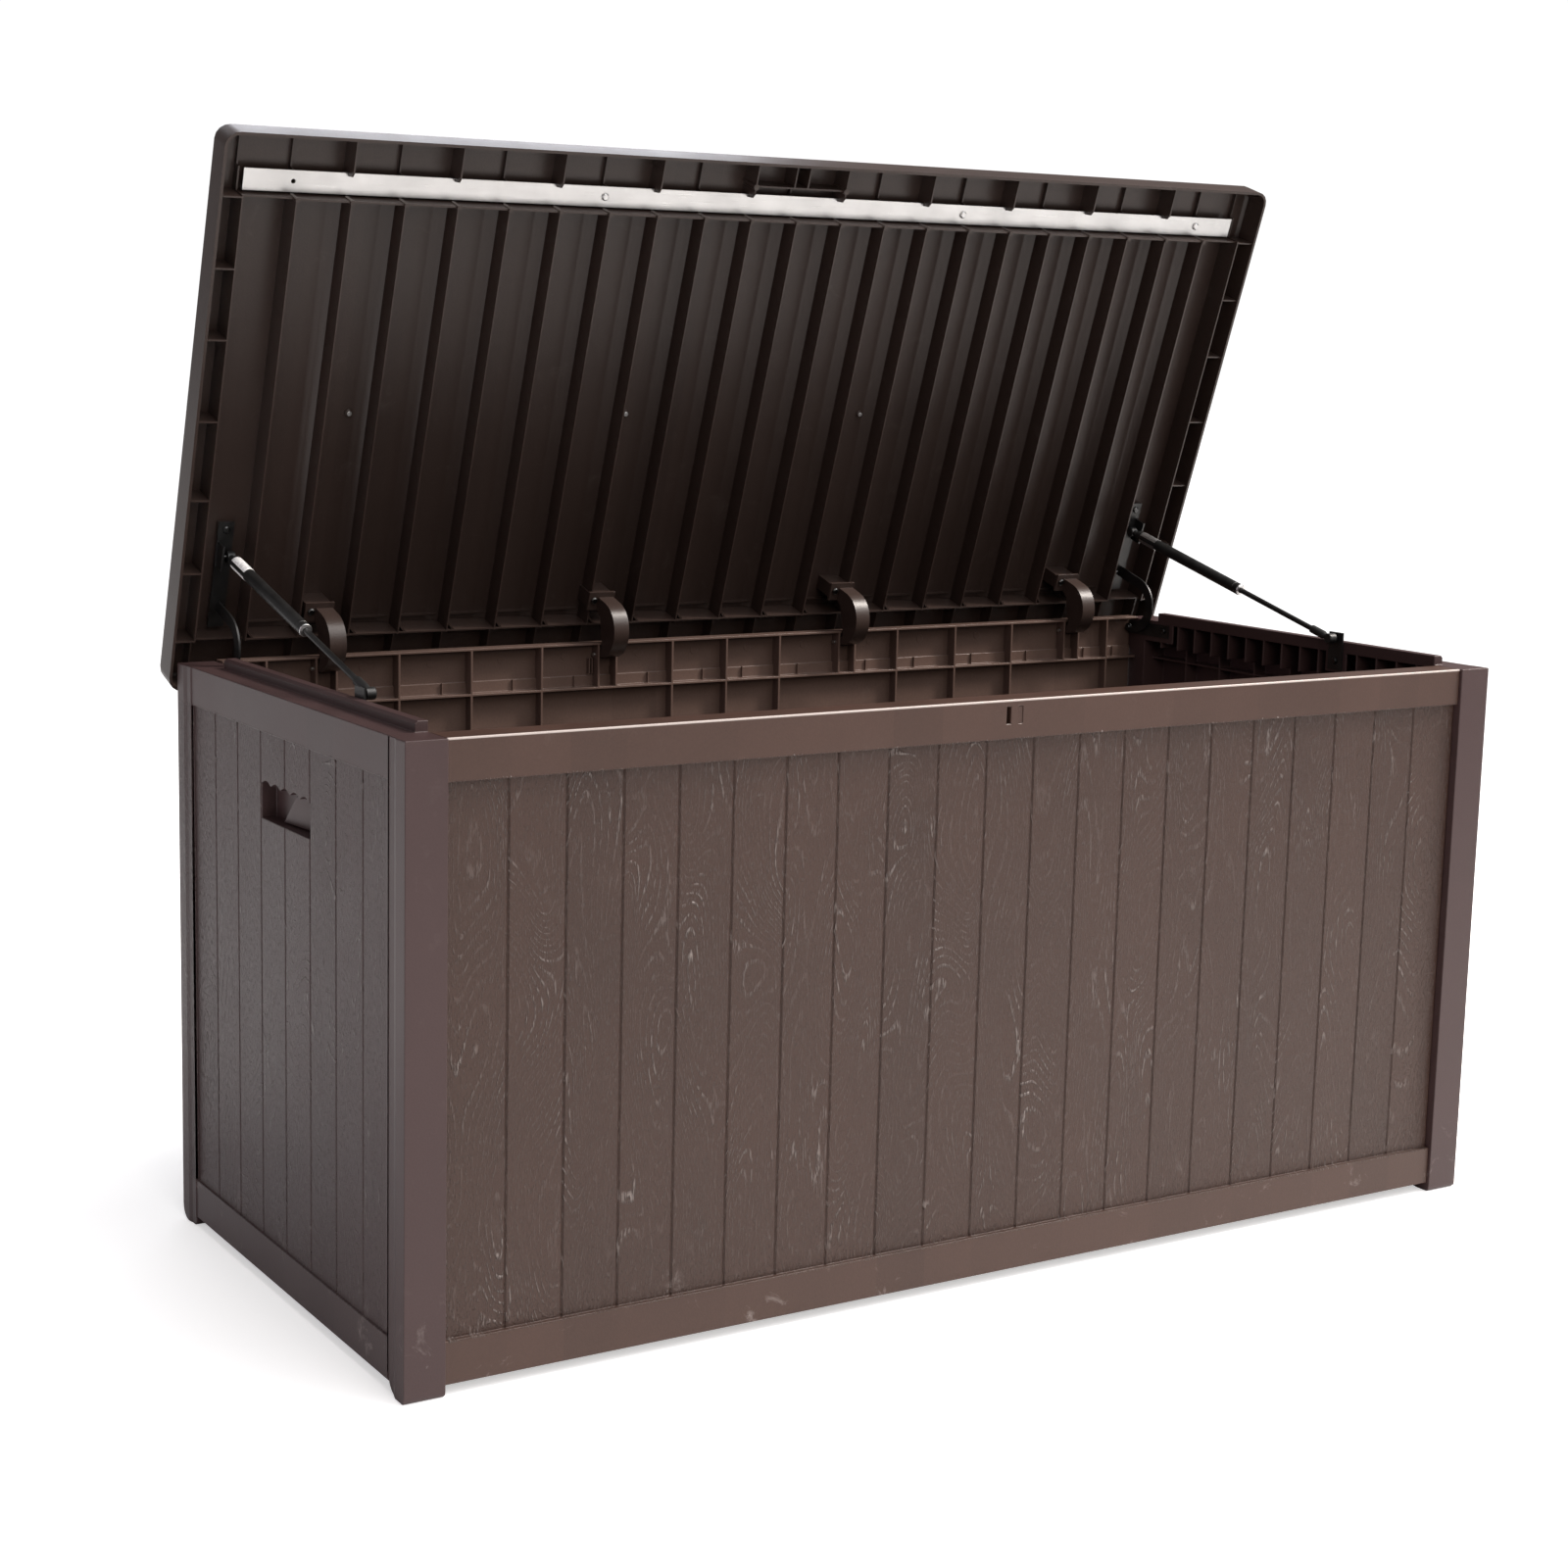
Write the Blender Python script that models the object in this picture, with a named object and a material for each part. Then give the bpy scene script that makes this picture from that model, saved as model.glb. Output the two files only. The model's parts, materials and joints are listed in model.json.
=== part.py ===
"""Resin deck storage box with a lid on gooseneck hinges and two gas struts.

Run with Blender 4.5: blender --background --python part.py
Metres, +Z up, the front of the box faces -Y. The box stands on its four post
feet at Z = 0, and the lid is open at its stop, as far as the gas struts let it go.
"""
import math

import bpy
from mathutils import Matrix, Vector

# ---------------------------------------------------------------- driving sizes
BOX_WIDTH = 1.530            # over the corner posts, along X
BOX_DEPTH = 0.667            # over the corner posts, along Y
BOX_HEIGHT = 0.699           # top of the posts
POST_WIDTH = 0.048           # along X, seen from the front
POST_DEPTH = 0.044           # along Y, seen from the side
POST_PROUD = 0.022           # outer part of a post's side face
POST_BEVEL = 0.008           # slope from there to the stile
GAP = 0.0003                 # free space between pieces that touch

RAIL_TOP_LOW = 0.653         # lower edge of the top rails
RAIL_BASE_TOP = 0.060        # upper edge of the bottom rails
RAIL_BASE_LOW = 0.012        # lower edge of the bottom rails
SKIN = 0.004                 # moulded wall thickness
RIB = 0.003                  # rib thickness
WALL_RIBS = [0.225, 0.435, 0.640]            # heights of the ribs along the walls

FRONT_RAIL_STEP = 0.004      # rails stand this far behind the posts' face
FRONT_PLANK_STEP = 0.010     # planks stand this far behind the posts' face
SIDE_RAIL_STEP = 0.002
SIDE_PLANK_STEP = 0.005
PLANK_PITCH = 0.0678         # front, back and lid planks
FRONT_PLANKS = 21
SIDE_PLANKS = 8
GROOVE_WIDTH = 0.004
GROOVE_DEPTH = 0.0022

LEDGE_DEPTH = 0.040          # flat top of the front panel
SIDE_LEDGE = 0.048           # flat top of a side panel
TOP_BAY_LOW = 0.660          # lower ends of the short ribs under a side ledge
LIP_WIDTH = 0.015            # raised rain lip on a side panel
LIP_HEIGHT = 0.012
LIP_BEVEL = 0.003
BACK_INNER = 0.308           # inside face of the back panel, from the box's middle
BACK_TOP = 0.7015
BACK_RIBS = [0.085, 0.281, 0.382, 0.483, 0.660]   # either side of the middle one

HANDLE_WIDTH = 0.142
HANDLE_LOW = 0.553
HANDLE_TOP = 0.597
HANDLE_DEPTH = 0.024
HANDLE_SCALLOPS = 5
SCALLOP_DEPTH = 0.005

LOCK_SLOT_X = 0.0085         # two padlock slots, either side of the middle
LOCK_SLOT_WIDTH = 0.006
LOCK_SLOT_LOW = 0.671
LOCK_SLOT_TOP = 0.691

# ---------------------------------------------------------------- lid and hinge
LID_OPEN = math.radians(71.8)
HINGE_Y = 0.319              # axis, from the box's middle
HINGE_Z = 0.685
LID_REAR = 0.031             # rear rim behind the axis, lid closed
LID_RIM = 0.020              # rim above the axis, lid closed
LID_WIDTH = 1.544
LID_DEPTH = 0.690
LID_HEIGHT = 0.042
LID_CORNER = 0.018
LID_WALL = 0.0035
LID_DECK = 0.004
FIN = 0.0020
FIN_SET_BACK = 0.004         # fins end this far inside the rim
FIN_COUNT_SIDE = 10          # fins each side of the middle one
SIDE_FIN_X = 0.743
HINGE_BAY = 0.064            # from the rear rim to the lower cross rib
BAR_RIB = 0.615              # from the rear rim to the upper cross rib
BAR_LOW = 0.6185
BAR_WIDTH = 0.0255
BAR_LEVEL = 0.0230           # near face of the bar, inside the rim
BAR_THICK = 0.0025
BAR_HALF = 0.7375
LOCK_RIB = 0.657
CROSS_RIBS_AT_EDGE = [0.153, 0.247, 0.346, 0.446, 0.531]
BAR_HOLES = [-0.677, -0.2715, 0.2695, 0.674]
PEG_RADIUS = 0.003           # round pegs along the upper cross rib, one at each fin
BRACE = 0.011                # slanting braces beside the lower cross rib

HOOK_X = [-0.587, -0.190, 0.190, 0.587]
HOOK_WIDTH = 0.022
HOOK_OFFSET = 0.006          # the band stands this far off its flange's middle
HOOK_CENTRE = 0.036          # centre of the gooseneck's curve, in front of the axis
HOOK_OUTER = 0.037
HOOK_BOSS = 0.0060
ARM_OUTER = 0.041            # the steel gooseneck's C
ARM_BAND = 0.015
PIN_RADIUS = 0.0025
FLANGE_NEAR = 0.055
FLANGE_FAR = 0.080
FLANGE_THICK = 0.0035
FLANGE_HALF = 0.019

# ---------------------------------------------------------------- steel and struts
STRUT_X = 0.704              # plane in which each strut swings
STUD_FORWARD = 0.1372        # lid stud from the axis, in the lid's own frame
STUD_RISE = 0.0395
WALL_STUD_Y = -0.107
WALL_STUD_Z = 0.715
BALL_RADIUS = 0.0045
STUD_RADIUS = 0.0025
TUBE_RADIUS = 0.0080
TUBE_BORE = 0.0068
TUBE_START = 0.016           # from the lid ball to the tube
TUBE_LENGTH = 0.231
ROD_RADIUS = 0.0037
ROD_START = 0.024            # from the wall ball to the rod's end in its socket
ROD_LENGTH = 0.190
FOOT_LENGTH = 0.036          # wall socket, from the ball to its mouth
GUIDE_LENGTH = 0.010
SOCKET_RADIUS = 0.0070
SPLIT_X = 0.7086             # a lid stud ends here, clear of its strut
ARM_X = 0.7100               # middle of the steel gooseneck plate
STEEL = 0.0025
PLATE_LEVEL = 0.0512         # lid plate above the axis, in the lid's own frame
PLATE_NEAR = 0.040
PLATE_FAR = 0.178
PLATE_HALF = 0.010
PLATE_X = 0.7085
STUD_FLANGE_X = 0.7145       # inner face of the flange that carries the lid stud
HINGE_PLATE_X = 0.7145       # inner face of the plates on the side wall
HINGE_PLATE_Y = (0.236, 0.324)
HINGE_PLATE_Z = (0.676, 0.6945)
HINGE_SCREW_AT = (0.246, 0.686)              # (y, z) on the side wall
STRUT_PLATE_HALF = 0.013
STRUT_PLATE_LOW = 0.672
STRUT_SCREW_Z = 0.684
BRACKET_SCREWS = [(0.7035, 0.066), (PLATE_X, 0.168)]     # (|x|, in front of the axis)

CIRCLE = 20

# The open lid reaches further back than the posts, so the whole part is moved
# along Y until its resting box is centred on the origin.
LID_EDGE_ROUND = 0.008


def rear_reach():
    """Furthest point behind the axis that the open lid's rounded rear edge reaches."""
    centre_y = LID_REAR - LID_EDGE_ROUND
    centre_z = LID_RIM + LID_HEIGHT - LID_EDGE_ROUND
    turned = centre_y * math.cos(LID_OPEN) + centre_z * math.sin(LID_OPEN)
    return turned + LID_EDGE_ROUND


SHIFT_Y = -(HINGE_Y + rear_reach() - BOX_DEPTH / 2) / 2

# ---------------------------------------------------------------- start clean
for old in list(bpy.data.objects):
    bpy.data.objects.remove(old, do_unlink=True)


# ---------------------------------------------------------------- materials
def material(name, colour, roughness, metallic=0.0):
    made = bpy.data.materials.new(name)
    made.use_nodes = True
    shader = made.node_tree.nodes["Principled BSDF"]
    shader.inputs["Base Color"].default_value = (*colour, 1.0)
    shader.inputs["Roughness"].default_value = roughness
    shader.inputs["Metallic"].default_value = metallic
    return made


RESIN = material("brown_resin", (0.085, 0.055, 0.048), 0.45)
RESIN_DARK = material("dark_brown_resin", (0.045, 0.032, 0.028), 0.5)
ALUMINIUM = material("mill_aluminium", (0.78, 0.78, 0.77), 0.35, 1.0)
BLACK_STEEL = material("black_steel", (0.012, 0.012, 0.013), 0.4, 0.6)
BLACK_NYLON = material("black_nylon", (0.010, 0.010, 0.010), 0.5)
ZINC_STEEL = material("zinc_steel", (0.55, 0.55, 0.53), 0.3, 1.0)


# ---------------------------------------------------------------- plain shapes
def prism(outline, axis, low, high):
    """An outline pushed along X, Y or Z. Outlines along X give (y, z) points,
    along Y give (z, x) points and along Z give (x, y) points."""
    area = sum(a[0] * b[1] - b[0] * a[1] for a, b in zip(outline, outline[1:] + outline[:1]))
    if area < 0:
        outline = outline[::-1]
    place = {
        "X": lambda a, b, c: (c, a, b),
        "Y": lambda a, b, c: (b, c, a),
        "Z": lambda a, b, c: (a, b, c),
    }[axis]
    count = len(outline)
    points = [place(a, b, low) for a, b in outline]
    points += [place(a, b, high) for a, b in outline]
    faces = [tuple(reversed(range(count))), tuple(range(count, 2 * count))]
    for i in range(count):
        j = (i + 1) % count
        faces.append((i, j, count + j, count + i))
    return points, faces


def block(x0, x1, y0, y1, z0, z1):
    return prism([(x0, y0), (x1, y0), (x1, y1), (x0, y1)], "Z", z0, z1)


def arc(centre, radius, start, end, steps):
    """Points of an arc from start to end, in degrees."""
    points = []
    for i in range(steps + 1):
        angle = math.radians(start + (end - start) * i / steps)
        points.append((centre[0] + radius * math.cos(angle),
                       centre[1] + radius * math.sin(angle)))
    return points


def disc(centre, radius, axis, low, high, sides=CIRCLE):
    """A round bar along an axis, at (a, b) as in prism."""
    outline = arc(centre, radius, 0, 360 - 360 / sides, sides - 1)
    return prism(outline, axis, low, high)


def turned(profile, sides=CIRCLE):
    """A solid of revolution about Z, from (radius, z) points going up."""
    points = []
    rings = []
    for radius, height in profile:
        if radius == 0:
            rings.append([len(points)])
            points.append((0.0, 0.0, height))
            continue
        rings.append(list(range(len(points), len(points) + sides)))
        for i in range(sides):
            angle = 2 * math.pi * i / sides
            points.append((radius * math.cos(angle), radius * math.sin(angle), height))
    faces = []
    for lower, upper in zip(rings, rings[1:]):
        for i in range(sides):
            j = (i + 1) % sides
            if len(lower) == 1:
                faces.append((lower[0], upper[j], upper[i]))
            elif len(upper) == 1:
                faces.append((lower[i], lower[j], upper[0]))
            else:
                faces.append((lower[i], lower[j], upper[j], upper[i]))
    if len(rings[0]) > 1:
        faces.append(tuple(reversed(rings[0])))
    if len(rings[-1]) > 1:
        faces.append(tuple(rings[-1]))
    return points, faces


def moved(shape, matrix):
    points, faces = shape
    return [tuple(matrix @ Vector(point)) for point in points], faces


def mirrored(shape):
    """The same shape on the other side of the box."""
    points, faces = shape
    return [(-x, y, z) for x, y, z in points], [tuple(reversed(face)) for face in faces]


def on_side(shapes, side):
    """Shapes drawn for the left side, kept there or mirrored to the right."""
    return [mirrored(shape) for shape in shapes] if side > 0 else shapes


def rounded_rectangle(x0, x1, y0, y1, radius, steps=4):
    return (arc((x1 - radius, y0 + radius), radius, -90, 0, steps)
            + arc((x1 - radius, y1 - radius), radius, 0, 90, steps)
            + arc((x0 + radius, y1 - radius), radius, 90, 180, steps)
            + arc((x0 + radius, y0 + radius), radius, 180, 270, steps))


def stacked(loops):
    """A solid through closed loops of equal length, bottom to top."""
    count = len(loops[0])
    points = [point for loop in loops for point in loop]
    faces = [tuple(reversed(range(count)))]
    for level in range(len(loops) - 1):
        base = level * count
        for i in range(count):
            j = (i + 1) % count
            faces.append((base + i, base + j, base + count + j, base + count + i))
    faces.append(tuple(range((len(loops) - 1) * count, len(loops) * count)))
    return points, faces


# ---------------------------------------------------------------- making objects
def mesh_of(name, shapes):
    points = []
    faces = []
    for shape_points, shape_faces in shapes:
        start = len(points)
        points += shape_points
        faces += [tuple(start + i for i in face) for face in shape_faces]
    mesh = bpy.data.meshes.new(name)
    mesh.from_pydata(points, [], faces)
    mesh.validate()
    return mesh


def loose(name, shapes):
    helper = bpy.data.objects.new(name, mesh_of(name, shapes))
    bpy.context.scene.collection.objects.link(helper)
    return helper


def piece(name, adds, cuts, finish, parent, smooth=False):
    """One solid: the first shape, joined with the others, less the cuts."""
    made = loose(name, adds[:1])
    helpers = []
    for operation, shapes in (("UNION", adds[1:]), ("DIFFERENCE", cuts)):
        if not shapes:
            continue
        helper = loose(name + "_tool", shapes)
        helpers.append(helper)
        boolean = made.modifiers.new(operation.title(), "BOOLEAN")
        boolean.operation = operation
        boolean.solver = "EXACT"
        boolean.use_self = len(shapes) > 1
        boolean.object = helper
    if helpers:
        view = bpy.context.evaluated_depsgraph_get()
        solid = bpy.data.meshes.new_from_object(made.evaluated_get(view))
        made.modifiers.clear()
        made.data = solid
        for helper in helpers:
            bpy.data.objects.remove(helper, do_unlink=True)
    made.data.name = name
    made.data.materials.clear()
    made.data.materials.append(finish)
    if smooth:
        made.data.shade_smooth()
        made.data.set_sharp_from_angle(angle=math.radians(40))
    made.parent = parent
    return made


def empty(name, location, rotation, parent):
    made = bpy.data.objects.new(name, None)
    bpy.context.scene.collection.objects.link(made)
    made.location = location
    made.rotation_euler = rotation
    made.parent = parent
    return made


BOX = empty("box_frame", (0, SHIFT_Y, 0), (0, 0, 0), None)
LID = empty("lid_axis", (0, HINGE_Y, HINGE_Z), (-LID_OPEN, 0, 0), BOX)

HALF_WIDTH = BOX_WIDTH / 2
HALF_DEPTH = BOX_DEPTH / 2
PANEL_HALF = HALF_WIDTH - POST_WIDTH - GAP


# ---------------------------------------------------------------- side panels
def post_outline(outer, inner, outer_round, inner_round):
    """Side view of a post, (y, z), with its foot's bottom edges rounded."""
    low = arc((outer + outer_round, outer_round), outer_round, 180, 270, 4)
    low += arc((inner - inner_round, inner_round), inner_round, 270, 360, 5)
    return low + [(inner, BOX_HEIGHT), (outer, BOX_HEIGHT)]


def planked_sheet(low, high, grooves, face, back):
    """Plan outline of a sheet of planks: V grooves cut in its outer face.
    The sheet runs from low to high; face is the outer face and back the inner."""
    outline = [(high, back), (low, back), (low, face)]
    for at in grooves:
        inwards = GROOVE_DEPTH if back > face else -GROOVE_DEPTH
        outline += [(at - GROOVE_WIDTH / 2, face), (at, face + inwards),
                    (at + GROOVE_WIDTH / 2, face)]
    outline.append((high, face))
    return outline


def handle_outline(inset=0.0):
    """Side view of the hand hole, (y, z): flat below, finger scallops above."""
    half = HANDLE_WIDTH / 2 - inset
    steps = 6 * HANDLE_SCALLOPS
    outline = [(-half, HANDLE_LOW + inset), (half, HANDLE_LOW + inset)]
    for i in range(steps + 1):
        bow = abs(math.sin(math.pi * HANDLE_SCALLOPS * i / steps))
        outline.append((half - 2 * half * i / steps,
                        HANDLE_TOP - inset - SCALLOP_DEPTH * (1 - bow)))
    return outline


def side_panel(name, side):
    outer = -HALF_WIDTH
    post_end = HALF_DEPTH - POST_DEPTH
    front_post = post_outline(-HALF_DEPTH, -post_end, 0.006, 0.022)
    back_post = [(-y, z) for y, z in reversed(post_outline(-HALF_DEPTH, -post_end, 0.018, 0.008))]
    rail_face = outer + SIDE_RAIL_STEP
    plank_face = outer + SIDE_PLANK_STEP
    ledge = outer + SIDE_LEDGE
    rib_depth = outer + 0.030
    pitch = 2 * post_end / SIDE_PLANKS
    grooves = [(i - SIDE_PLANKS / 2) * pitch for i in range(1, SIDE_PLANKS)]
    sheet = planked_sheet(-post_end - 0.002, post_end + 0.002, grooves, plank_face,
                          plank_face + SKIN)
    sheet_xy = [(x, y) for y, x in sheet]
    overlap = post_end + 0.001
    adds = [
        prism(front_post, "X", outer, outer + POST_WIDTH),
        prism(back_post, "X", outer, outer + POST_WIDTH),
        prism(sheet_xy, "Z", RAIL_BASE_LOW + 0.001, BOX_HEIGHT - 0.001),
        block(rail_face, rail_face + SKIN + 0.003, -overlap, overlap, RAIL_TOP_LOW, BOX_HEIGHT),
        block(rail_face, ledge, -overlap, overlap, BOX_HEIGHT - SKIN, BOX_HEIGHT),
        block(rail_face, rail_face + SKIN + 0.003, -overlap, overlap, RAIL_BASE_LOW,
              RAIL_BASE_TOP),
        block(rail_face, rib_depth, -overlap, overlap, RAIL_BASE_LOW, RAIL_BASE_LOW + SKIN),
    ]
    # raised rain lip, bevelled on its outer side
    lip_end = post_end + 0.0008
    lip = [(ledge - LIP_WIDTH, BOX_HEIGHT - 0.002), (ledge, BOX_HEIGHT - 0.002),
           (ledge, BOX_HEIGHT + LIP_HEIGHT), (ledge - LIP_WIDTH + LIP_BEVEL, BOX_HEIGHT + LIP_HEIGHT),
           (ledge - LIP_WIDTH, BOX_HEIGHT + LIP_HEIGHT - LIP_BEVEL)]
    adds.append(prism([(z, x) for x, z in lip], "Y", -HALF_DEPTH + 0.049, 0.262))
    # ribs behind the planks, with a band of small bays under the ledge
    for at in grooves:
        adds.append(block(plank_face + 0.002, rib_depth, at - RIB / 2, at + RIB / 2,
                          RAIL_BASE_LOW + 0.002, BOX_HEIGHT - 0.002))
    for height in WALL_RIBS:
        adds.append(block(plank_face + 0.002, rib_depth, -lip_end, lip_end,
                          height, height + RIB))
    # a row of deep ribs right under the ledge, two to a plank, out to its inner edge
    for i in range(1, 2 * SIDE_PLANKS):
        at = (i - SIDE_PLANKS) * pitch / 2
        adds.append(block(plank_face + 0.002, ledge, at - RIB / 2, at + RIB / 2, TOP_BAY_LOW,
                          BOX_HEIGHT - 0.002))
    # pads that carry the hinge plate and the strut bracket
    for low, high in ((0.228, lip_end), (WALL_STUD_Y - 0.019, WALL_STUD_Y + 0.020)):
        adds.append(block(ledge - RIB, ledge, low, high, 0.668, BOX_HEIGHT - 0.002))
    # pocket behind the hand hole
    adds.append(prism(handle_outline(-0.003), "X", plank_face + 0.002, outer + HANDLE_DEPTH + 0.003))
    # the posts' side faces step down to a stile beside the planks
    stile = outer + SIDE_RAIL_STEP - GAP
    proud = HALF_DEPTH - POST_PROUD
    step = [(outer - 0.01, -proud), (outer, -proud), (stile, -proud + POST_BEVEL),
            (stile, proud - POST_BEVEL), (outer, proud), (outer - 0.01, proud)]
    cuts = [prism(handle_outline(), "X", outer - 0.01, outer + HANDLE_DEPTH),
            prism(step, "Z", -0.01, BOX_HEIGHT + 0.01)]
    return piece(name, on_side(adds, side), on_side(cuts, side), RESIN, BOX)


side_panel("left_side_panel", -1)
side_panel("right_side_panel", 1)


# ---------------------------------------------------------------- front and back
def front_panel():
    face = -HALF_DEPTH + FRONT_RAIL_STEP
    planks = -HALF_DEPTH + FRONT_PLANK_STEP
    inner = planks + 0.022
    grooves = [(i - FRONT_PLANKS / 2) * PLANK_PITCH for i in range(1, FRONT_PLANKS)]
    end = PANEL_HALF
    adds = [
        prism(planked_sheet(-end + 0.001, end - 0.001, grooves, planks, planks + SKIN),
              "Z", RAIL_BASE_LOW + 0.001, BOX_HEIGHT - 0.001),
        block(-end, end, face, planks + SKIN, RAIL_TOP_LOW, BOX_HEIGHT),
        block(-end, end, face, face + LEDGE_DEPTH, BOX_HEIGHT - SKIN, BOX_HEIGHT),
        block(-end, end, face, planks + SKIN, RAIL_BASE_LOW, RAIL_BASE_TOP),
        block(-end, end, face, inner, RAIL_BASE_LOW, RAIL_BASE_LOW + SKIN),
        block(-end, end, face + LEDGE_DEPTH - RIB, face + LEDGE_DEPTH, 0.655, BOX_HEIGHT - 0.001),
    ]
    for at in grooves[1:-1:2] + [-end + RIB / 2 + 0.0005, end - RIB / 2 - 0.0005]:
        adds.append(block(at - RIB / 2, at + RIB / 2, planks + 0.003, inner,
                          RAIL_BASE_LOW + 0.002, BOX_HEIGHT - 0.002))
    for height in WALL_RIBS:
        adds.append(block(-end + 0.001, end - 0.001, planks + 0.003, inner, height, height + RIB))
    half = LOCK_SLOT_WIDTH / 2
    cuts = [block(x - half, x + half, face - 0.01, depth, LOCK_SLOT_LOW, LOCK_SLOT_TOP)
            for x, depth in ((-LOCK_SLOT_X, planks + SKIN + 0.004), (LOCK_SLOT_X, face + 0.003))]
    return piece("front_panel", adds, cuts, RESIN, BOX)


def back_panel():
    face = HALF_DEPTH - FRONT_RAIL_STEP
    planks = HALF_DEPTH - 0.007
    rail_inner = face - SKIN
    grooves = [(i - FRONT_PLANKS / 2) * PLANK_PITCH for i in range(1, FRONT_PLANKS)]
    end = PANEL_HALF
    adds = [
        prism(planked_sheet(-end + 0.001, end - 0.001, grooves, planks, planks - SKIN),
              "Z", RAIL_BASE_LOW + 0.001, RAIL_TOP_LOW + 0.004),
        block(-end, end, rail_inner, face, RAIL_TOP_LOW, BACK_TOP),
        block(-end, end, BACK_INNER, face, BACK_TOP - RIB, BACK_TOP),
        block(-end, end, planks - SKIN, face, RAIL_BASE_LOW, RAIL_BASE_TOP),
        block(-end, end, BACK_INNER, face, RAIL_BASE_LOW, RAIL_BASE_LOW + SKIN),
    ]

    def rib(at, low):
        near, far = at - RIB / 2, at + RIB / 2
        adds.append(block(near, far, BACK_INNER, planks - 0.003, low, BACK_TOP - 0.001))
        adds.append(block(near, far, BACK_INNER, rail_inner + 0.001, RAIL_TOP_LOW + 0.005,
                          BACK_TOP - 0.001))

    rib(0.0, RAIL_BASE_LOW + 0.002)
    for at in BACK_RIBS:
        rib(-at, RAIL_BASE_LOW + 0.002)
        rib(at, RAIL_BASE_LOW + 0.002)
    for height in WALL_RIBS:
        adds.append(block(-end + 0.001, end - 0.001, BACK_INNER, planks - 0.003, height,
                          height + RIB))
    cuts = []
    for x in HOOK_X:
        middle = x + HOOK_OFFSET
        cheek = HOOK_WIDTH / 2 + 0.0008 + RIB / 2
        rib(middle - cheek, 0.641)
        rib(middle + cheek, 0.641)
        cuts.append(disc((HINGE_Y, HINGE_Z), PIN_RADIUS + GAP, "X", middle - cheek - RIB,
                         middle + cheek + RIB))
    return piece("back_panel", adds, cuts, RESIN, BOX)


front_panel()
back_panel()

FLOOR_TOP = 0.058
FLOOR_X = HALF_WIDTH - 0.030 - GAP
FLOOR_FRONT = -HALF_DEPTH + FRONT_PLANK_STEP + 0.022 + GAP
FLOOR_BACK = BACK_INNER - GAP


def base_panel():
    adds = [block(-FLOOR_X, FLOOR_X, -HALF_DEPTH + POST_DEPTH + GAP, HALF_DEPTH - POST_DEPTH - GAP,
                  FLOOR_TOP - SKIN, FLOOR_TOP)]
    # tongues between the posts reach the front and back panels
    inside = PANEL_HALF - 0.001
    adds.append(block(-inside, inside, FLOOR_FRONT, FLOOR_BACK, FLOOR_TOP - SKIN, FLOOR_TOP))
    for y in (-0.240, -0.080, 0.080, 0.240):
        adds.append(block(-0.700, 0.700, y - RIB, y + RIB, 0.020, FLOOR_TOP - 0.002))
    for i in range(7):
        x = -0.690 + i * 0.230
        adds.append(block(x - RIB, x + RIB, -0.260, 0.260, 0.022, FLOOR_TOP - 0.002))
    return piece("base_panel", adds, [], RESIN_DARK, BOX)


base_panel()


# ---------------------------------------------------------------- lid
# The lid is drawn closed, with the hinge axis as its origin: x along the
# axis, y back and z up. rim(d) is the height d inside the rim, and
# along(d) is the place d in front of the rear rim.
def rim(inside):
    return LID_RIM + inside


def along(distance):
    return LID_REAR - distance


def lid_loop(inset, height):
    half = LID_WIDTH / 2 - inset
    radius = max(LID_CORNER - inset, 0.004)
    loop = rounded_rectangle(-half, half, along(LID_DEPTH) + inset, LID_REAR - inset, radius)
    return [(x, y, height) for x, y in loop]


def lid_shell_shapes():
    top = rim(LID_HEIGHT)
    edge = LID_EDGE_ROUND
    outer = [lid_loop(0, rim(0)), lid_loop(0, top - edge)]
    for angle in (30, 60, 90):
        turn = math.radians(angle)
        outer.append(lid_loop(edge * (1 - math.cos(turn)), top - edge + edge * math.sin(turn)))
    inner = [lid_loop(LID_WALL, rim(-0.01)), lid_loop(LID_WALL, top - edge),
             lid_loop(LID_WALL + edge * 0.3, top - LID_DECK - 0.001),
             lid_loop(LID_WALL + edge * 0.6, top - LID_DECK)]
    return stacked(outer), stacked(inner)


def lid_fin(x, thick):
    """One stiffening fin, cut back over the hinge bay and under the bar."""
    deck = rim(LID_HEIGHT - LID_DECK / 2)
    low = rim(FIN_SET_BACK)
    bay = rim(0.016)
    bar = rim(BAR_LEVEL + BAR_THICK + GAP)
    shallow = rim(LID_HEIGHT - LID_DECK - 0.006)
    past_bar = along(BAR_LOW + BAR_WIDTH + 0.001)
    front = along(LID_DEPTH) + LID_WALL / 2
    return prism([(LID_REAR - LID_WALL / 2, deck), (front, deck), (front, shallow),
                  (past_bar, shallow), (past_bar, bar),
                  (along(BAR_LOW - 0.001), bar), (along(BAR_LOW - 0.001), low),
                  (along(HINGE_BAY - 0.002), low), (along(HINGE_BAY - 0.002), bay),
                  (LID_REAR - LID_WALL / 2, bay)], "X", x - thick / 2, x + thick / 2)


def front_gusset(x):
    """Deep fin in front of the bar, whose rounded nose holds the bar's edge."""
    deck = rim(LID_HEIGHT - LID_DECK / 2)
    low = rim(0.008)
    edge = BAR_LOW + BAR_WIDTH + GAP
    nose = rim(BAR_LEVEL - GAP)
    front = along(LID_DEPTH) + LID_WALL / 2
    return prism([(along(edge), deck), (front, deck), (front, low), (along(edge + 0.004), low),
                  (along(edge - 0.002), rim(0.012)), (along(edge - 0.004), nose),
                  (along(edge), nose)], "X", x - FIN / 2, x + FIN / 2)


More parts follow.
